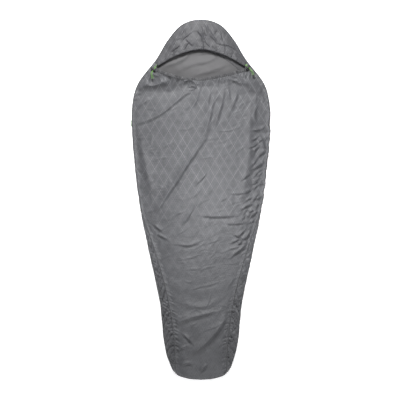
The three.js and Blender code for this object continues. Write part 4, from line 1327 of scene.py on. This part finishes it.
def stitch_row(name, line, cloths):
    """A row of raised stitches along a line of (x, row y), on top of the cloths."""
    marks = resampled(np.asarray(line, float), step=STITCH_PITCH)
    marks = uneven_edge(joined(marks[:, 0], marks[:, 1], 0.0))
    path, landed = dropped(marks, cloths)
    sides = 5
    angle = TAU * np.arange(sides) / sides
    points, faces = [], []
    for i in range(len(path) - 1):
        if not (landed[i] and landed[i + 1]):
            continue
        step = path[i + 1] - path[i]
        along = unit(step)
        right = unit(np.array([along[1], -along[0], 0]))
        up = np.cross(right, along)
        base = len(points)
        for share, rise, radius in ((-0.5, -0.15, 0.5), (-0.3, 0.25, 1), (0.3, 0.25, 1), (0.5, -0.15, 0.5)):
            middle = path[i] + step / 2 + along * share * STITCH_LENGTH + up * rise
            ring = np.outer(np.cos(angle), right) + np.outer(np.sin(angle), up)
            points.extend(middle + ring * STITCH_RADIUS * radius)
        for ring in range(3):
            for k in range(sides):
                a, b = base + ring * sides + k, base + ring * sides + (k + 1) % sides
                faces.append([a, a + sides, b + sides, b])
        faces.append([base + k for k in range(sides)])
        faces.append([base + 3 * sides + k for k in range(sides)][::-1])
    return mesh_piece(name, points, faces, LIGHT_THREAD, uneven=False)


def beside_hem(line, away):
    """A line of (x, row y) beside a hem's middle line, towards the head where away is positive."""
    x = np.linspace(-MOUTH_CORNER + 8, MOUTH_CORNER - 8, 400)
    slope = np.gradient(line(x), x)
    shift = away / np.hypot(1, slope)
    return joined(x - shift * slope, row_y(line(x) + shift))


def inside_edge(side, start, end, away):
    yf = np.linspace(start, end, 400)
    line = inset_line(joined(half_width(yf), yf), away)
    return joined(side * line[:, 0], row_y(line[:, 1]))


for name, line, away, cloth_under in (("chest_hem_stitches", chest_line, -IN_HEM, chest_hem),
                                      ("chest_panel_stitches", chest_line, -IN_PANEL, front)):
    set_down(stitch_row(name, beside_hem(line, away), [cloth_under]), "seam_thread")
for name, line, away, cloth_under in (("rim_hem_stitches", rim_line, IN_HEM, hood_hem),
                                      ("rim_panel_stitches", rim_line, IN_PANEL, hood_cloth)):
    lift_with_hood(stitch_row(name, beside_hem(line, away), [cloth_under]), "seam_thread")
crown_right = inside_edge(1, 1866, 2090, IN_CROWN_EDGE)
crown_edge = np.concatenate([crown_right, inside_edge(-1, 1866, 2090, IN_CROWN_EDGE)[::-1]])
lift_with_hood(stitch_row("hood_edge_stitches", crown_edge, [hood_cloth]), "seam_thread")
for side, word in SIDES:
    edge_line = inside_edge(side, GUSSET_START, 1790, IN_SIDE_EDGE)
    set_down(stitch_row(f"{word}_edge_stitches", edge_line, [front]), "seam_thread")
    yf = np.linspace(60, GUSSET_START - 20, 400)
    seam_line = joined(side * (front_half_width(yf) - IN_GUSSET_SEAM), row_y(yf))
    set_down(stitch_row(f"{word}_gusset_stitches", seam_line, [front]), "seam_thread")

# ---- lights and floor ----
floor_mesh = bpy.data.meshes.new("floor")
FLOOR = 6.0  # half its side, in metres
corners = [(-FLOOR, -FLOOR, 0), (FLOOR, -FLOOR, 0), (FLOOR, FLOOR, 0), (-FLOOR, FLOOR, 0)]
floor_mesh.from_pydata(corners, [], [(0, 1, 2, 3)])
floor_shader = Shader("floor_paint", 0.9)
floor_tone = floor_shader.ramp(floor_shader.noise(3.0), 0.0, 1.0, (0.86, 0.86, 0.86), (0.89, 0.89, 0.89))
floor_shader.color(floor_tone)
# The floor also glows a little: painted light that fills in the shadow beyond the foot end and lights the
# bag's sides from below.
floor_shader.bsdf.inputs["Emission Color"].default_value = (1, 1, 1, 1)
floor_shader.bsdf.inputs["Emission Strength"].default_value = 0.3
floor_mesh.materials.append(floor_shader.material)
floor = link(bpy.data.objects.new("floor", floor_mesh))


def area_light(name, place, target, size, power):
    data = bpy.data.lights.new(name, "AREA")
    data.shape = "DISK"
    data.size = size
    data.energy = power
    lamp = link(bpy.data.objects.new(name, data))
    lamp.location = place
    lamp.rotation_euler = (Vector(target) - Vector(place)).to_track_quat("-Z", "Y").to_euler()
    lamp.visible_camera = False


# Each lamp: name, place, target, size in metres, power in watts.
LAMPS = (
    ("key", (-0.15, 1.9, 1.65), (0, 0.2, 0), 0.6, 94),
    ("overhead", (0.08, -0.02, 0.85), (0.08, -0.02, 0), 0.5, 9.5),
    ("fill", (0.3, -2.6, 2.2), (0, -1.0, 0), 1.6, 9),
    ("toe", (0.1, -1.95, 0.75), (0, -1.0, 0), 0.5, 8),
)
for lamp in LAMPS:
    area_light(*lamp)
world = bpy.data.worlds.new("studio")
world.use_nodes = True
sky = world.node_tree.nodes["Background"].inputs
sky["Color"].default_value = (0.97, 0.98, 1.0, 1)
sky["Strength"].default_value = 0.46
bpy.context.scene.world = world
bpy.context.scene.view_settings.view_transform = "Standard"

# ---- locks and cord ends, which carry over from the frame, with their moulded rings and ribs ----
BARREL_RADIUS = 7.0
BUTTON_RADIUS = 5.8
# Each lock's rings: part, body, radius, thickness, and places along the lock from its middle.
RINGS = (("barrel", "lock", BARREL_RADIUS, 0.55, (-10.2, -8.2, -6.2, 7.0, 9.0)),
         ("button", "button", BUTTON_RADIUS, 0.4, (16.2, 17.6)))
CARRIED = (("lock_barrel", BLACK), ("lock_button", BLACK), ("lock_spring", STEEL), ("cord_end", BLACK))
RIBS = ((3.4, 4.6), (5.6, 3.8), (7.8, 3.0))  # on a cord end: (distance down, half length)
TURNS = 48
RING_SIDES = 8


def ring_around(name, middle, axis, radius, thickness):
    """A moulded ring around an axis that lies level."""
    sideways = np.array([axis[1], -axis[0], 0])
    up = np.array([0, 0, 1.0])
    points, faces = [], []
    for t in TAU * np.arange(TURNS) / TURNS:
        out = math.cos(t) * sideways + math.sin(t) * up
        for a in TAU * np.arange(RING_SIDES) / RING_SIDES:
            points.append(middle + out * (radius + thickness * math.cos(a)) + axis * thickness * math.sin(a))
    for i in range(TURNS):
        for k in range(RING_SIDES):
            this, other = i * RING_SIDES, (i + 1) % TURNS * RING_SIDES
            m = (k + 1) % RING_SIDES
            faces.append([this + k, other + k, other + m, this + m])
    return mesh_piece(name, points, faces, BLACK)


def rib_across(name, lock, down, half):
    """A raised rib across a cord end."""
    place = lock.tail_end + lock.end_down * down + np.array([0, 0, 1.9])
    path = [place + lock.end_out * t * half for t in np.linspace(-1, 1, 12)]
    return tube(name, path, 0.6, 0.55, BLACK, 8, round_ends=1.0)


for lock in LOCKS:
    for node, material in CARRIED:
        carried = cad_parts[f"{node}_{lock.name}"]
        carried.data.materials.clear()
        carried.data.materials.append(material)
        if node != "lock_spring":
            bevel = carried.modifiers.new("moulded_edges", "BEVEL")
            bevel.width = 0.25 * MM
            bevel.segments = 2
            bevel.limit_method = "ANGLE"
    axis = lock.out if lock.name == "left" else -lock.out
    for part, body, radius, thickness, places in RINGS:
        for i, along in enumerate(places):
            name = f"{lock.name}_{part}_ring_{i}"
            ring = ring_around(name, lock.place + axis * along, axis, radius, thickness)
            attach(ring, f"{body}_{lock.name}")
    for i, (down, half) in enumerate(RIBS):
        rib = rib_across(f"{lock.name}_cord_end_rib_{i}", lock, down, half)
        set_down(rib, "black_plastic")
